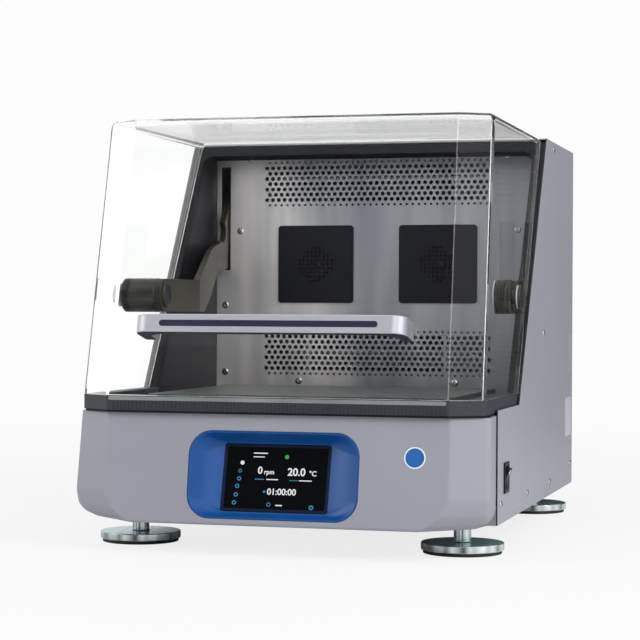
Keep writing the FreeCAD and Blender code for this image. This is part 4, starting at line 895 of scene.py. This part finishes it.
def display_dish():
    """Dished surround: a rounded lip, a hollow slope and a small step down to the glass."""
    lip = 0.7 * MM
    top, foot = display_rings((-DISPLAY_BORDER, 0))[0], screen_rings((0.6 * MM, 0))[0]
    inwards = display_place().to_3x3()

    def slope(share, sag):
        return [a.lerp(b, share) - inwards @ Vector((0, 0, sag)) for a, b in zip(top, foot)]

    rings = display_rings((0, -2.5 * MM), (0, -lip), (-lip * 0.3, -lip * 0.3), (-lip, 0),
                          (-DISPLAY_BORDER + 0.5 * MM, 0))
    rings += [slope(0.03, 0.3 * MM)]
    for share in (0.15, 0.3, 0.45, 0.6, 0.75, 0.9, 1.0):
        rings.append(slope(share, 1.6 * MM * math.sin(math.pi * share) ** 0.8))
    rings += screen_rings((0.1 * MM, -0.2 * MM), (0, -0.6 * MM), (0, -DISPLAY_SHELL), (DISPLAY_SHELL, -DISPLAY_SHELL))
    piece = skin("display_dish", rings + [rings[0]], BLUE, capped=False)
    adopt(piece, "surround_blue", "display_surround", angle=50)


# Hood

def hood_front(z):
    return -RIM_REACH + HOOD_LEAN * (z - RIM_TOP) / (HOOD_TOP - RIM_TOP)


def hood_ring(z, inset):
    half = RIM_HALF_WIDTH - HOOD_TAPER * (z - RIM_TOP) / (HOOD_TOP - RIM_TOP)
    front = hood_front(z)
    corners = plan_corners(half - RIM_ACROSS, front, half, front + RIM_BACK, 460 * MM)
    return plan_ring(corners, z, max(HOOD_FOLD - inset, 1.2 * MM), inset=inset)


def hood_glazing():
    """One-piece clear hood with folded front corners and a rounded top edge."""
    bend, steps = HOOD_TOP_BEND, 6
    rings = [hood_ring(RIM_TOP - 12 * MM, 0)]
    for step in range(steps + 1):
        angle = math.pi / 2 * step / steps
        rings.append(hood_ring(HOOD_TOP - bend + bend * math.sin(angle), bend * (1 - math.cos(angle))))
    piece = skin("hood_glazing", rings, ACRYLIC)
    open_up(piece, lambda c, n: n.z < -0.9 or n.y > 0.9)
    thicken(piece, HOOD_WALL)
    cut_behind_slant(piece)
    cut_off(piece, Vector((0, 0, RIM_TOP + REST_GAP)), Vector((0, 0, -1)))
    round_edges(piece, 0.4 * MM, 2, 60)
    adopt(piece, "clear_acrylic", "hood_shell", body="hood", angle=35)


def handle_place():
    """Frame on the hood's front: X across, Y out of the hood, Z up along it."""
    lean = math.atan2(HOOD_LEAN, HOOD_TOP - RIM_TOP)
    out = (0, -math.cos(lean), math.sin(lean))
    up = (0, math.sin(lean), math.cos(lean))
    return frame_of((1, 0, 0), out, up, (0, FACE_Y + hood_front(HANDLE_HEIGHT), HANDLE_HEIGHT))


def grab_bar():
    """Bent flat bar with soft edges and a long shallow recess."""
    outer, inner = HANDLE_HALF_WIDTH, HANDLE_HALF_WIDTH - HANDLE_LEG
    deep = HANDLE_PROUD - HANDLE_BAR
    corners = [(-outer, 0), (-inner, 0), (-inner, deep), (inner, deep), (inner, 0), (outer, 0),
               (outer, HANDLE_PROUD), (-outer, HANDLE_PROUD)]
    radii = [0, 0, HANDLE_INNER_CORNER, HANDLE_INNER_CORNER, 0, 0, HANDLE_OUTER_CORNER, HANDLE_OUTER_CORNER]
    piece = prism("grab_bar", rounded(corners, radii, 12), -HANDLE_TALL / 2, HANDLE_TALL / 2, HANDLE_ALLOY)
    round_edges(piece, HANDLE_EDGE, 4, 60)
    slot = soft_rectangle(INLAY_HALF_LENGTH, INLAY_TALL / 2, INLAY_TALL / 2 * 0.96)
    rings = [[Vector((p.x, y, p.y)) for p in slot] for y in (HANDLE_PROUD - INLAY_DEPTH, HANDLE_PROUD + INLAY_DEPTH)]
    carve(piece, skin("recess_cutter", rings, HANDLE_ALLOY))
    adopt(settle(piece, handle_place()), "handle_alloy", "handle_bar", body="hood", angle=35)


# Rim under the hood

RIB_PITCH = 4.2 * MM
RIB_FIELD = 174 * MM
RIB = (1, 4, 0, -0.7, 0.7, 0.5)
RIB_MIDDLE = 149 * MM
STRIP_TALL = 4 * MM
STRIP_PROUD = 0.4 * MM
STRIP_DROP = 0.6 * MM
STRIP_INSET = 2 * MM
RIM_GAP = 2.2 * MM
RIM_GAP_DEEP = 1.4 * MM
RIM_REAR = SLANT_FOOT.y + (10.0 + 16.0) * MM


def rim_wall(name, low, high, inset, made):
    """Open frame round the chamber's mouth, cut off at the slanted opening."""
    corners = plan_corners(RIM_HALF_WIDTH - RIM_ACROSS, -RIM_REACH, RIM_HALF_WIDTH, RIM_BACK - RIM_REACH, RIM_REAR)
    band = skin(name, [plan_ring(corners, z, RIM_FOLD, inset=inset) for z in (low, high)], made)
    open_up(band, lambda c, n: abs(n.z) > 0.9 or n.y > 0.9)
    thicken(band, RIM_WIDTH - inset)
    cut_behind_slant(band)
    return band


def rim_band():
    """Moulded rim with a soft top and bottom edge, a pale strip, a field of upright ribs, and a recessed black band
    under it that is painted shade in the gap to the bezel.
    """
    low = BEZEL_RINGS[0][0] * MM + RIM_GAP
    piece = rim_wall("rim_band", low, RIM_TOP, 0, RIM_PLASTIC)
    round_edges(piece, 1 * MM, 3, 50)
    # Painted shade: a recessed black band stands for the shadow in the gap between rim and bezel.
    shadow_gap_band = rim_wall("rim_shadow_gap_band", low - RIM_GAP, low, RIM_GAP_DEEP, SEAL_RUBBER)
    adopt(shadow_gap_band, "seal_rubber", angle=None)
    outline = soft_rectangle(RIM_HALF_WIDTH - RIM_ACROSS - STRIP_INSET, STRIP_TALL / 2, STRIP_TALL * 0.4, 4)
    strip = settle(prism("strip", outline, -STRIP_PROUD, STRIP_PROUD, PALE_STRIP, 0.2 * MM),
                   frontwise_place(0, FACE_Y - RIM_REACH, RIM_TOP - STRIP_TALL / 2 - STRIP_DROP))
    rib = settle(soft_block("rib", RIB, RIM_PLASTIC), frontwise_place(0, FACE_Y - RIM_REACH, RIB_MIDDLE))
    count = int(RIB_FIELD / RIB_PITCH)
    ribs = [copy_at(rib, moved(i * RIB_PITCH, 0, 0)) for i in range(-count, count + 1)]
    bpy.data.objects.remove(rib)
    adopt(fuse("rim_band", [piece, strip] + ribs), "rim_dark", "rim", angle=35)


# Touch screen

GLASS_GAP = 0.25 * MM
FRAME_INSET = 0.7 * MM
FRAME_BAND = 3.2 * MM
READOUT_SINK = 0.1 * MM
READOUT_LIFT = 0.06 * MM
MODULE_INSET = 4 * MM
MODULE_DEEP = 9 * MM
# An enlarged view of the glass, in which the readouts were placed: its middle, its size and how far its rows run down
# from left to right
VIEW_X, VIEW_Y = 753, 459
VIEW_WIDE, VIEW_TALL = 850, 549
VIEW_DROP = 0.027
# Readouts: finish, kind, column and row in that view, then in millimetres a ring's radius and width, a bar's start, end
# and height, or words and their height
READOUTS = (
    (LIT_WHITE, "ring", 476, 332, 2.1, 3),
    (LIT_WHITE, "bar", 560, 255, 0, 15, 1.1),
    (LIT_WHITE, "bar", 560, 285, 0, 12, 0.9),
    (LIT_WHITE, "words", 604, 420, "0", 7.0),
    (LIT_WHITE, "words", 654, 424, "rpm", 4.6),
    (LIT_WHITE, "words", 842, 436, "20.0", 7.6),
    (LIT_WHITE, "words", 1012, 440, "°C", 5.0),
    (LIT_WHITE, "bar", 585, 465, 12, 24.5, 1.0),
    (LIT_WHITE, "bar", 860, 476, 10, 23.5, 1.0),
    (LIT_WHITE, "words", 690, 588, "01:00:00", 6.2),
    (LIT_WHITE, "bar", 765, 675, 0, 7, 1.2),
    (LIT_BLUE, "ring", 459, 460, 2.2, 1.0),
    (LIT_BLUE, "ring", 449, 520, 2.2, 1.0),
    (LIT_BLUE, "ring", 443, 588, 2.2, 1.0),
    (LIT_BLUE, "ring", 434, 652, 2.2, 1.0),
    (LIT_BLUE, "bar", 585, 465, 0, 10, 0.9),
    (LIT_TEAL, "ring", 462, 397, 2.0, 0.9),
    (LIT_TEAL, "bar", 860, 476, 0, 9, 0.9),
    (LIT_BLUE, "ring", 668, 566, 1.3, 2),
    (LIT_TEAL, "ring", 710, 668, 2.2, 0.9),
    (LIT_TEAL, "ring", 1048, 692, 2.5, 1.5),
    (LIT_GREEN, "ring", 828, 288, 2.2, 3),
)


def on_glass():
    """Frame on the front of the glass."""
    return screen_place() @ moved(0, 0, -SCREEN_SINK)


def glass_plate():
    """Black glass with a softly ground edge on its module."""
    plate = prism("glass_plate", screen_ring(-GLASS_GAP), -GLASS, 0, SCREEN, 0.5 * MM, 3)
    module = prism("module", screen_ring(-MODULE_INSET), -GLASS - MODULE_DEEP, -GLASS, SCREEN, 0.6 * MM)
    adopt(settle(fuse("glass_plate", [plate, module]), on_glass()), "screen_glass", "touch_screen")


def glass_frame():
    """Navy band printed round the picture."""
    outer, inner = screen_ring(-GLASS_GAP - FRAME_INSET), screen_ring(-GLASS_GAP - FRAME_BAND)
    low, high = -READOUT_SINK, READOUT_LIFT / 2
    rings = [at_height(*pair) for pair in ((outer, low), (outer, high), (inner, high), (inner, low), (outer, low))]
    adopt(settle(skin("glass_frame", rings, FRAME_NAVY, capped=False), on_glass()), "screen_glass")


def lit_bar(x, y, made, start, end, tall):
    half = tall / 2 * MM
    left, right = x + start * MM, x + end * MM
    corners = [(left, y - half), (right, y - half), (right, y + half), (left, y + half)]
    return prism("bar", rounded(corners, [half * 0.8] * 4, 4), -READOUT_SINK, READOUT_LIFT, made)


def lit_ring(x, y, made, radius, width):
    """Flat ring, or a dot where the width is more than the radius."""
    def ring(r, z):
        return circle(r * MM, z, 24, x, y)
    rings = [ring(radius, -READOUT_SINK), ring(radius, READOUT_LIFT)]
    if width < radius:
        rings += [ring(radius - width, READOUT_LIFT), ring(radius - width, -READOUT_SINK), rings[0]]
    return skin("ring", rings, made, capped=width >= radius)


def lit_words(x, y, made, text, tall):
    """Digits or a unit, their left end at x and their foot at y."""
    bpy.ops.object.text_add()
    words = bpy.context.object
    words.data.body = text
    words.data.size = tall * MM / 0.7
    words.data.extrude = READOUT_LIFT
    words.data.offset = tall * MM * 0.03
    bpy.ops.object.convert(target="MESH")
    settle(words, moved(x, y, 0))
    words.data.materials.append(made)
    return words


def readouts():
    """Plain readouts: speed, temperature, time and a column of round keys."""
    makers = {"ring": lit_ring, "bar": lit_bar, "words": lit_words}
    pieces = []
    for made, kind, column, row, *sizes in READOUTS:
        x = (column - VIEW_X) / VIEW_WIDE * 2 * (SCREEN_HALF_WIDTH - GLASS_GAP)
        y = (VIEW_Y + (column - VIEW_X) * VIEW_DROP - row) / VIEW_TALL * SCREEN_LENGTH
        pieces.append(makers[kind](x, y, made, *sizes))
    adopt(settle(fuse("readouts", pieces), on_glass()), "screen_glass", angle=None)


# Badge, films and screws

BADGE_X = 145.2 * MM
BADGE_HEIGHT = 102.6 * MM
BADGE_RADIUS = 10.8 * MM
FILM = 0.3 * MM
# Blank films near the rear edge of the right panel: half length, half height, depth and height of the middle
LABEL = (24 * MM, 24 * MM, 556 * MM, 116 * MM)
PLATE = (16 * MM, 24 * MM, 569 * MM, 194 * MM)
PANEL_SCREW_RADIUS = 4.2 * MM
PANEL_SCREW_TALL = 1.5 * MM


def plain_badge():
    """Blank round badge: a blue disc in a white ring."""
    place = bezel_face(BADGE_X, BADGE_HEIGHT)
    ring = turned("badge", soft_disc(BADGE_RADIUS, -FILM / 2, FILM, 0.12 * MM), WHITE_PRINT_AND_HIGHLIGHT, place)
    disc = turned("disc", soft_disc(BADGE_RADIUS * 0.88, 0, FILM * 1.3, 0.1 * MM), BADGE_BLUE, place)
    adopt(fuse("plain_badge", [ring, disc]), "surround_blue")


def plain_film(name, sizes, made):
    half_long, half_tall, depth, height = sizes
    piece = prism(name, soft_rectangle(half_long, half_tall, 2 * MM), -FILM, FILM, made, 0.1 * MM)
    adopt(settle(piece, side_place(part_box("side_panel_right")[1].x, depth, height)), "casing_paint")


def screw_head(radius, tall):
    """Domed screw head with a crossed recess, its foot at the origin."""
    profile = [(radius, 0), (radius, tall * 0.25)]
    for step in range(1, 6):
        angle = math.pi / 2 * step / 6
        profile.append((radius * math.cos(angle), tall * (0.25 + 0.75 * math.sin(angle))))
    head = turned("head", profile, BRIGHT_STEEL, Matrix(), 28)
    reach, half = radius * 0.55, radius * 0.13
    cross = [(-reach, -half), (-half, -half), (-half, -reach), (half, -reach), (half, -half), (reach, -half),
             (reach, half), (half, half), (half, reach), (-half, reach), (-half, half), (-reach, half)]
    carve(head, prism("cross", cross, tall * 0.45, tall * 2, BRIGHT_STEEL))
    smooth(head, 40)
    return head


def panel_screw_place(low, high):
    middle = (low + high) / 2
    if high.x - low.x < high.z - low.z - 0.1 * MM:
        side = 1 if middle.x > 0 else -1
        return crosswise_place(low.x if side > 0 else high.x, middle.y, middle.z, side)
    return frontwise_place(middle.x, high.y, middle.z)


def panel_screw_heads():
    """One modelled head, copied to each screw of the panels."""
    head = screw_head(PANEL_SCREW_RADIUS, PANEL_SCREW_TALL)
    copies = [copy_at(head, panel_screw_place(*box) @ spun(i * 0.7, "Z"))
              for i, box in enumerate(islands("panel_screws"))]
    bpy.data.objects.remove(head)
    adopt(fuse("panel_screw_heads", copies), "steel_bright", "panel_screws", angle=None)


# Feet

FOOT_DISC = 7.7 * MM
FOOT_RADIUS = 42.6 * MM
PAD_RADIUS = 40.5 * MM
PAD_TALL = 3.5 * MM
STEM_RADIUS = 9 * MM
STEM_TOP = 30.5 * MM
STUD_RADIUS = 6 * MM
THREAD_PITCH = 1.5 * MM


def levelling_foot(word):
    """Turned foot: bright disc with a soft rim, stem and threaded stud, on a rubber pad."""
    low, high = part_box("foot_" + word)
    place = moved((low.x + high.x) / 2, (low.y + high.y) / 2, 0)
    profile = soft_disc(FOOT_RADIUS, PAD_TALL, PAD_TALL + FOOT_DISC, 1 * MM, 4)
    top = profile[-1][1]
    profile += [(FOOT_RADIUS * 0.5, top), (STEM_RADIUS + 1 * MM, top), (STEM_RADIUS, top + 1 * MM),
                (STEM_RADIUS, STEM_TOP - 0.6 * MM), (STEM_RADIUS - 0.6 * MM, STEM_TOP),
                (STUD_RADIUS - 0.3 * MM, STEM_TOP)]
    thread = STEM_TOP
    while thread + THREAD_PITCH < high.z - 1 * MM:
        profile += [(STUD_RADIUS - 0.7 * MM, thread + THREAD_PITCH * 0.25), (STUD_RADIUS, thread + THREAD_PITCH * 0.75)]
        thread += THREAD_PITCH
    profile += [(STUD_RADIUS - 0.8 * MM, high.z)]
    body = "levelling_foot_" + word
    adopt(turned(body, profile, CHROME, place, 96), "foot_chrome", "foot_" + word, body=body, angle=40)
    pad = turned("rubber_pad_" + word, soft_disc(PAD_RADIUS, 0, PAD_TALL, 0.9 * MM), PAD_RUBBER, place, 96)
    adopt(pad, "pad_rubber", "foot_pad_" + word, body=body, angle=40)


# Spacers, bosses and caps of the hood arms

SPACER_BORE = 5.2 * MM
SPACER_EDGE = 0.8 * MM
SPACER_RIM = 3 * MM
GROOVE = 2 * MM
GROOVE_DEEP = 1 * MM
GROOVE_EDGE = 0.3 * MM
BOSS_EDGE = 0.9 * MM
SHANK_RADIUS = 5 * MM
COLLAR_RADIUS = 8 * MM
COLLAR = 4.2 * MM
CAP = 6 * MM
CAP_RADIUS = 12.5 * MM
# Thin pale rings on the right boss and cap, painted highlights: height, depth and how far they stand out
HIGHLIGHT_RING_TALL = 1.3 * MM
HIGHLIGHT_RING_DEEP = 1 * MM
HIGHLIGHT_RING_PROUD = 0.15 * MM


def grooved_spacer(length, radius, grooved):
    profile = [(SPACER_BORE, 0), (radius - SPACER_EDGE, 0), (radius, SPACER_EDGE)]
    if grooved:
        for at in (length - SPACER_RIM - GROOVE, length - SPACER_RIM - 3 * GROOVE):
            profile += [(radius, at), (radius - GROOVE_DEEP, at + GROOVE_EDGE),
                        (radius - GROOVE_DEEP, at + GROOVE - GROOVE_EDGE), (radius, at + GROOVE)]
    return profile + [(radius, length - SPACER_EDGE), (radius - SPACER_EDGE, length), (SPACER_BORE, length)]


def arm_hardware():
    """Turned spacers with their grooves, and bosses, shanks and outer caps, with thin pale rings on the right that are
    painted highlights.
    """
    spacers, bolts = [], []
    for (low, high), (bolt_low, bolt_high) in zip(islands("arm_spacers"), islands("arm_bolts")):
        left = low.x < 0
        y, z = (low.y + high.y) / 2, (low.z + high.z) / 2
        spacer_place = crosswise_place(high.x if left else low.x, y, z, -1 if left else 1)
        bolt_place = crosswise_place(bolt_high.x if left else bolt_low.x, y, z, -1 if left else 1)
        profile = grooved_spacer(high.x - low.x, (high.z - low.z) / 2, left)
        spacers.append(turned("spacer", profile, SPACER_PLASTIC, spacer_place, 72))
        reach = bolt_high.x - bolt_low.x
        foot = reach - CAP
        boss, boss_radius = (2.5 * MM, 13.5 * MM) if left else (5.5 * MM, 18.4 * MM)
        profile = [(boss_radius * 0.55, 0.6 * MM), (boss_radius * 0.62, 0), (boss_radius - BOSS_EDGE, 0),
                   (boss_radius, BOSS_EDGE), (boss_radius, boss), (SHANK_RADIUS, boss), (SHANK_RADIUS, foot - COLLAR),
                   (COLLAR_RADIUS, foot - COLLAR), (COLLAR_RADIUS, foot)]
        bolts.append(turned("bolt", profile, SPACER_PLASTIC, bolt_place, 72))
        # Painted highlights: thin pale rings round the rims of the right boss and cap.
        if not left:
            for radius, at in ((boss_radius, 0.6 * MM), (CAP_RADIUS, foot + 1.2 * MM)):
                profile = [(radius - HIGHLIGHT_RING_DEEP, at), (radius + HIGHLIGHT_RING_PROUD, at), (radius + HIGHLIGHT_RING_PROUD, at + HIGHLIGHT_RING_TALL),
                           (radius - HIGHLIGHT_RING_DEEP, at + HIGHLIGHT_RING_TALL)]
                bolts.append(turned("ring", profile, CAP_AND_HIGHLIGHT_PLASTIC, bolt_place, 72))
        profile = [(CAP_RADIUS, foot), (CAP_RADIUS, reach - 1.4 * MM), (CAP_RADIUS - 0.5 * MM, reach - 0.4 * MM),
                   (CAP_RADIUS - 1.4 * MM, reach), (CAP_RADIUS * 0.5, reach), (CAP_RADIUS * 0.45, reach - 0.5 * MM)]
        bolts.append(turned("cap", profile, CAP_AND_HIGHLIGHT_PLASTIC if left else SPACER_PLASTIC, bolt_place, 72))
    adopt(fuse("turned_spacers", spacers), "arm_coat", "arm_spacers", body="hood", angle=35)
    adopt(fuse("turned_bolts", bolts), "steel_bright", "arm_bolts", body="hood", angle=35)


INLAY_GAP = 0.1 * MM
# Socket-head screw: radius and height along it
SOCKET_SCREW = ((1.4, -1.6), (1.4, -3.0), (4.6, -3.0), (5.0, -2.6), (5.0, 0), (2.5, 0), (2.5, 18))


def handle_fittings():
    """Inlay strip with soft edges, and socket-head screws inside the hood."""
    half_tall = INLAY_TALL / 2 - INLAY_GAP
    outline = soft_rectangle(INLAY_HALF_LENGTH - INLAY_GAP, half_tall, half_tall * 0.96, 10)
    strip = prism("inlay_strip", outline, 0, INLAY_DEPTH - INLAY_GAP, INLAY, 0.35 * MM, 3)
    outwards = spun(-math.pi / 2, "X")
    settle(strip, handle_place() @ moved(0, HANDLE_PROUD - INLAY_DEPTH, 0) @ outwards
           @ Matrix.Scale(-1, 4, (0, 1, 0)))
    edit(strip)
    face_outwards()
    leave()
    adopt(strip, "inlay_navy", "handle_inlay", body="hood")
    profile = [(radius * MM, height * MM) for radius, height in SOCKET_SCREW]
    leg = HANDLE_HALF_WIDTH - HANDLE_LEG / 2
    screws = [turned("screw", profile, BRIGHT_STEEL, handle_place() @ moved(x, -HOOD_WALL, 0) @ outwards, 32)
              for x in (-leg, leg)]
    adopt(fuse("socket_screws", screws), "steel_bright", "handle_screws", body="hood", angle=35)


# Power switch and mains inlet

SWITCH_Y = 110 * MM
SWITCH_HEIGHT = 76 * MM
SWITCH_TILT = math.radians(8)
ROCKER_PIVOT_INSET = 4 * MM
ROCKER_ROWS = 9
ROCKER_HALF_WIDTH = 8 * MM
ROCKER_HALF_TALL = 10.6 * MM
ROCKER_PROUD = 4.5 * MM
ROCKER_DISH = 2.2 * MM
ROCKER_KEEL = 10 * MM
KEEL_HALF = 7.5 * MM
# Tilt of the painted highlight patch on the rocker
HIGHLIGHT_TILT = math.radians(14)
# Sizes of soft blocks
SWITCH_FLANGE = (13, 16, 2.2, 0, 2, 0.8)
SWITCH_BODY = (11, 14, 1, -19, 0.5, 0)
SWITCH_HOLE = (8.5, 12, 1, -12, 6, 0)
# Painted highlight patch on the rocker's dished top
SWITCH_HIGHLIGHT = (2.2, 2.4, 2, -0.6, 0.35, 0.12)
INLET_FLANGE = (24, 13.5, 5, 0, 2, 0.6)
INLET_BODY = (14.5, 10.75, 1.5, -25, 0.5, 0)
CONTACT = (1, 2, 0, -20, -7, 0.4)
# In millimetres too: the places of the contacts and the outline of the socket
CONTACTS = ((-7, 0), (7, 0), (0, 3))
SOCKET = ((-12.25, -8.5), (12.25, -8.5), (12.25, 4.5), (8.25, 8.5), (-8.25, 8.5), (-12.25, 4.5))
INLET_SCREWS = 19.5 * MM


def hollow_shell(name, flange, steps, body, hole):
    """Black flange with a body behind it and a hole in both."""
    piece = soft_block(name, flange, BLACK_PLASTIC, steps, 3)
    carve(piece, soft_block("body", body, BLACK_PLASTIC), "UNION")
    carve(piece, hole)
    round_edges(piece, 0.3 * MM, 2, 60)
    return piece


def power_switch():
    """Snap-in frame with soft corners round a dished rocker that carries a white patch, a painted highlight on its
    dished top.
    """
    place = side_place(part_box("side_panel_right")[1].x, SWITCH_Y, SWITCH_HEIGHT)
    hole = soft_block("hole", SWITCH_HOLE, BLACK_PLASTIC, 4)
    housing = hollow_shell("switch_frame", SWITCH_FLANGE, 6, SWITCH_BODY, hole)
    adopt(settle(housing, place), "black_plastic", "switch_housing")
    rings = []
    for i in range(ROCKER_ROWS):
        v = -ROCKER_HALF_TALL + 2 * ROCKER_HALF_TALL * i / (ROCKER_ROWS - 1)
        high = ROCKER_PROUD - ROCKER_DISH * max(math.cos(math.pi / 2 * v / ROCKER_HALF_TALL), 0.0) ** 1.3
        low = max(abs(v) - KEEL_HALF, 0) * 3.2 - ROCKER_KEEL
        rings.append([Vector((x, v, z)) for x, z in ((-ROCKER_HALF_WIDTH, low), (ROCKER_HALF_WIDTH, low),
                                                     (ROCKER_HALF_WIDTH, high), (-ROCKER_HALF_WIDTH, high))])
    rocker = skin("rocker_key", rings, BLACK_PLASTIC)
    round_edges(rocker, 0.6 * MM, 3, 40)
    # Painted highlight: a pale patch on the rocker's dished top.
    painted_highlight = soft_block("painted_highlight", SWITCH_HIGHLIGHT, WHITE_PRINT_AND_HIGHLIGHT, 5)
    settle(painted_highlight, moved(0, 6.6 * MM, 3.35 * MM) @ spun(HIGHLIGHT_TILT, "X"))
    tilt = moved(0, 0, -ROCKER_PIVOT_INSET) @ spun(SWITCH_TILT, "X") @ moved(0, 0, ROCKER_PIVOT_INSET)
    rocker = settle(fuse("rocker_key", [rocker, painted_highlight]), place @ tilt)
    adopt(rocker, "black_plastic", "switch_rocker", body="power_rocker")


def power_inlet():
    """Appliance inlet: flange with soft corners, deep socket with cut corners and three bright contacts."""
    low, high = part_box("mains_inlet")
    face = frame_of((-1, 0, 0), (0, 0, 1), (0, 1, 0), ((low.x + high.x) / 2, high.y - 2 * MM, (low.z + high.z) / 2))
    socket = prism("socket", [(u * MM, v * MM) for u, v in SOCKET], -18 * MM, 6 * MM, BLACK_PLASTIC)
    pieces = [hollow_shell("inlet_shell", INLET_FLANGE, 8, INLET_BODY, socket)]
    for u, v in CONTACTS:
        pieces.append(settle(soft_block("contact", CONTACT, CONTACT_BRASS), moved(u * MM, v * MM, 0)))
    for x in (-INLET_SCREWS, INLET_SCREWS):
        pieces.append(settle(screw_head(3 * MM, 1 * MM), moved(x, 0, 1.9 * MM)))
    adopt(settle(fuse("inlet_shell", pieces), face), "black_plastic", "mains_inlet")


# Dust filters behind the rear vents

VENT_HEIGHTS = (120 * MM, 360 * MM)
FILTER = (88, 36, 4, 0, 5, 1.2)
PANEL_SHEET = 1.5 * MM


def vent_filters():
    """Black foam pads with soft corners, laid on the inside of the vents."""
    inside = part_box("rear_panel")[1].y - PANEL_SHEET
    pads = [settle(soft_block("filter", FILTER, FOAM, 6), frontwise_place(0, inside, height))
            for height in VENT_HEIGHTS]
    adopt(fuse("vent_filters", pads), "black_plastic")


def soften(width, *nodes):
    """Rounds the sharp edges of solids that keep their own shape."""
    for node in nodes:
        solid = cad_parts[node]
        add_modifier(solid, "WELD", merge_threshold=0.005 * MM)
        add_modifier(solid, "DECIMATE", decimate_type="DISSOLVE", angle_limit=math.radians(0.6))
        add_modifier(solid, "BEVEL", width=width, segments=2, limit_method="ANGLE", angle_limit=math.radians(50),
                     use_clamp_overlap=True)
        add_modifier(solid, "WEIGHTED_NORMAL", keep_sharp=True)


# Everything together

dress_nodes()
add_studio()
bezel_shell()
display_dish()
hood_glazing()
grab_bar()
rim_band()
glass_plate()
glass_frame()
readouts()
plain_badge()
plain_film("plain_label", LABEL, PALE_FILM)
plain_film("plain_plate", PLATE, GREY_FILM)
panel_screw_heads()
for word in FOOT_WORDS:
    levelling_foot(word)
arm_hardware()
handle_fittings()
power_switch()
power_inlet()
vent_filters()
soften(0.5 * MM, "side_panel_left", "side_panel_right", "top_cover", "rear_panel", "base_pan", "opening_seal",
       "platform", "hood_arm_left", "hood_arm_right", "fan_grille_left", "fan_grille_right")
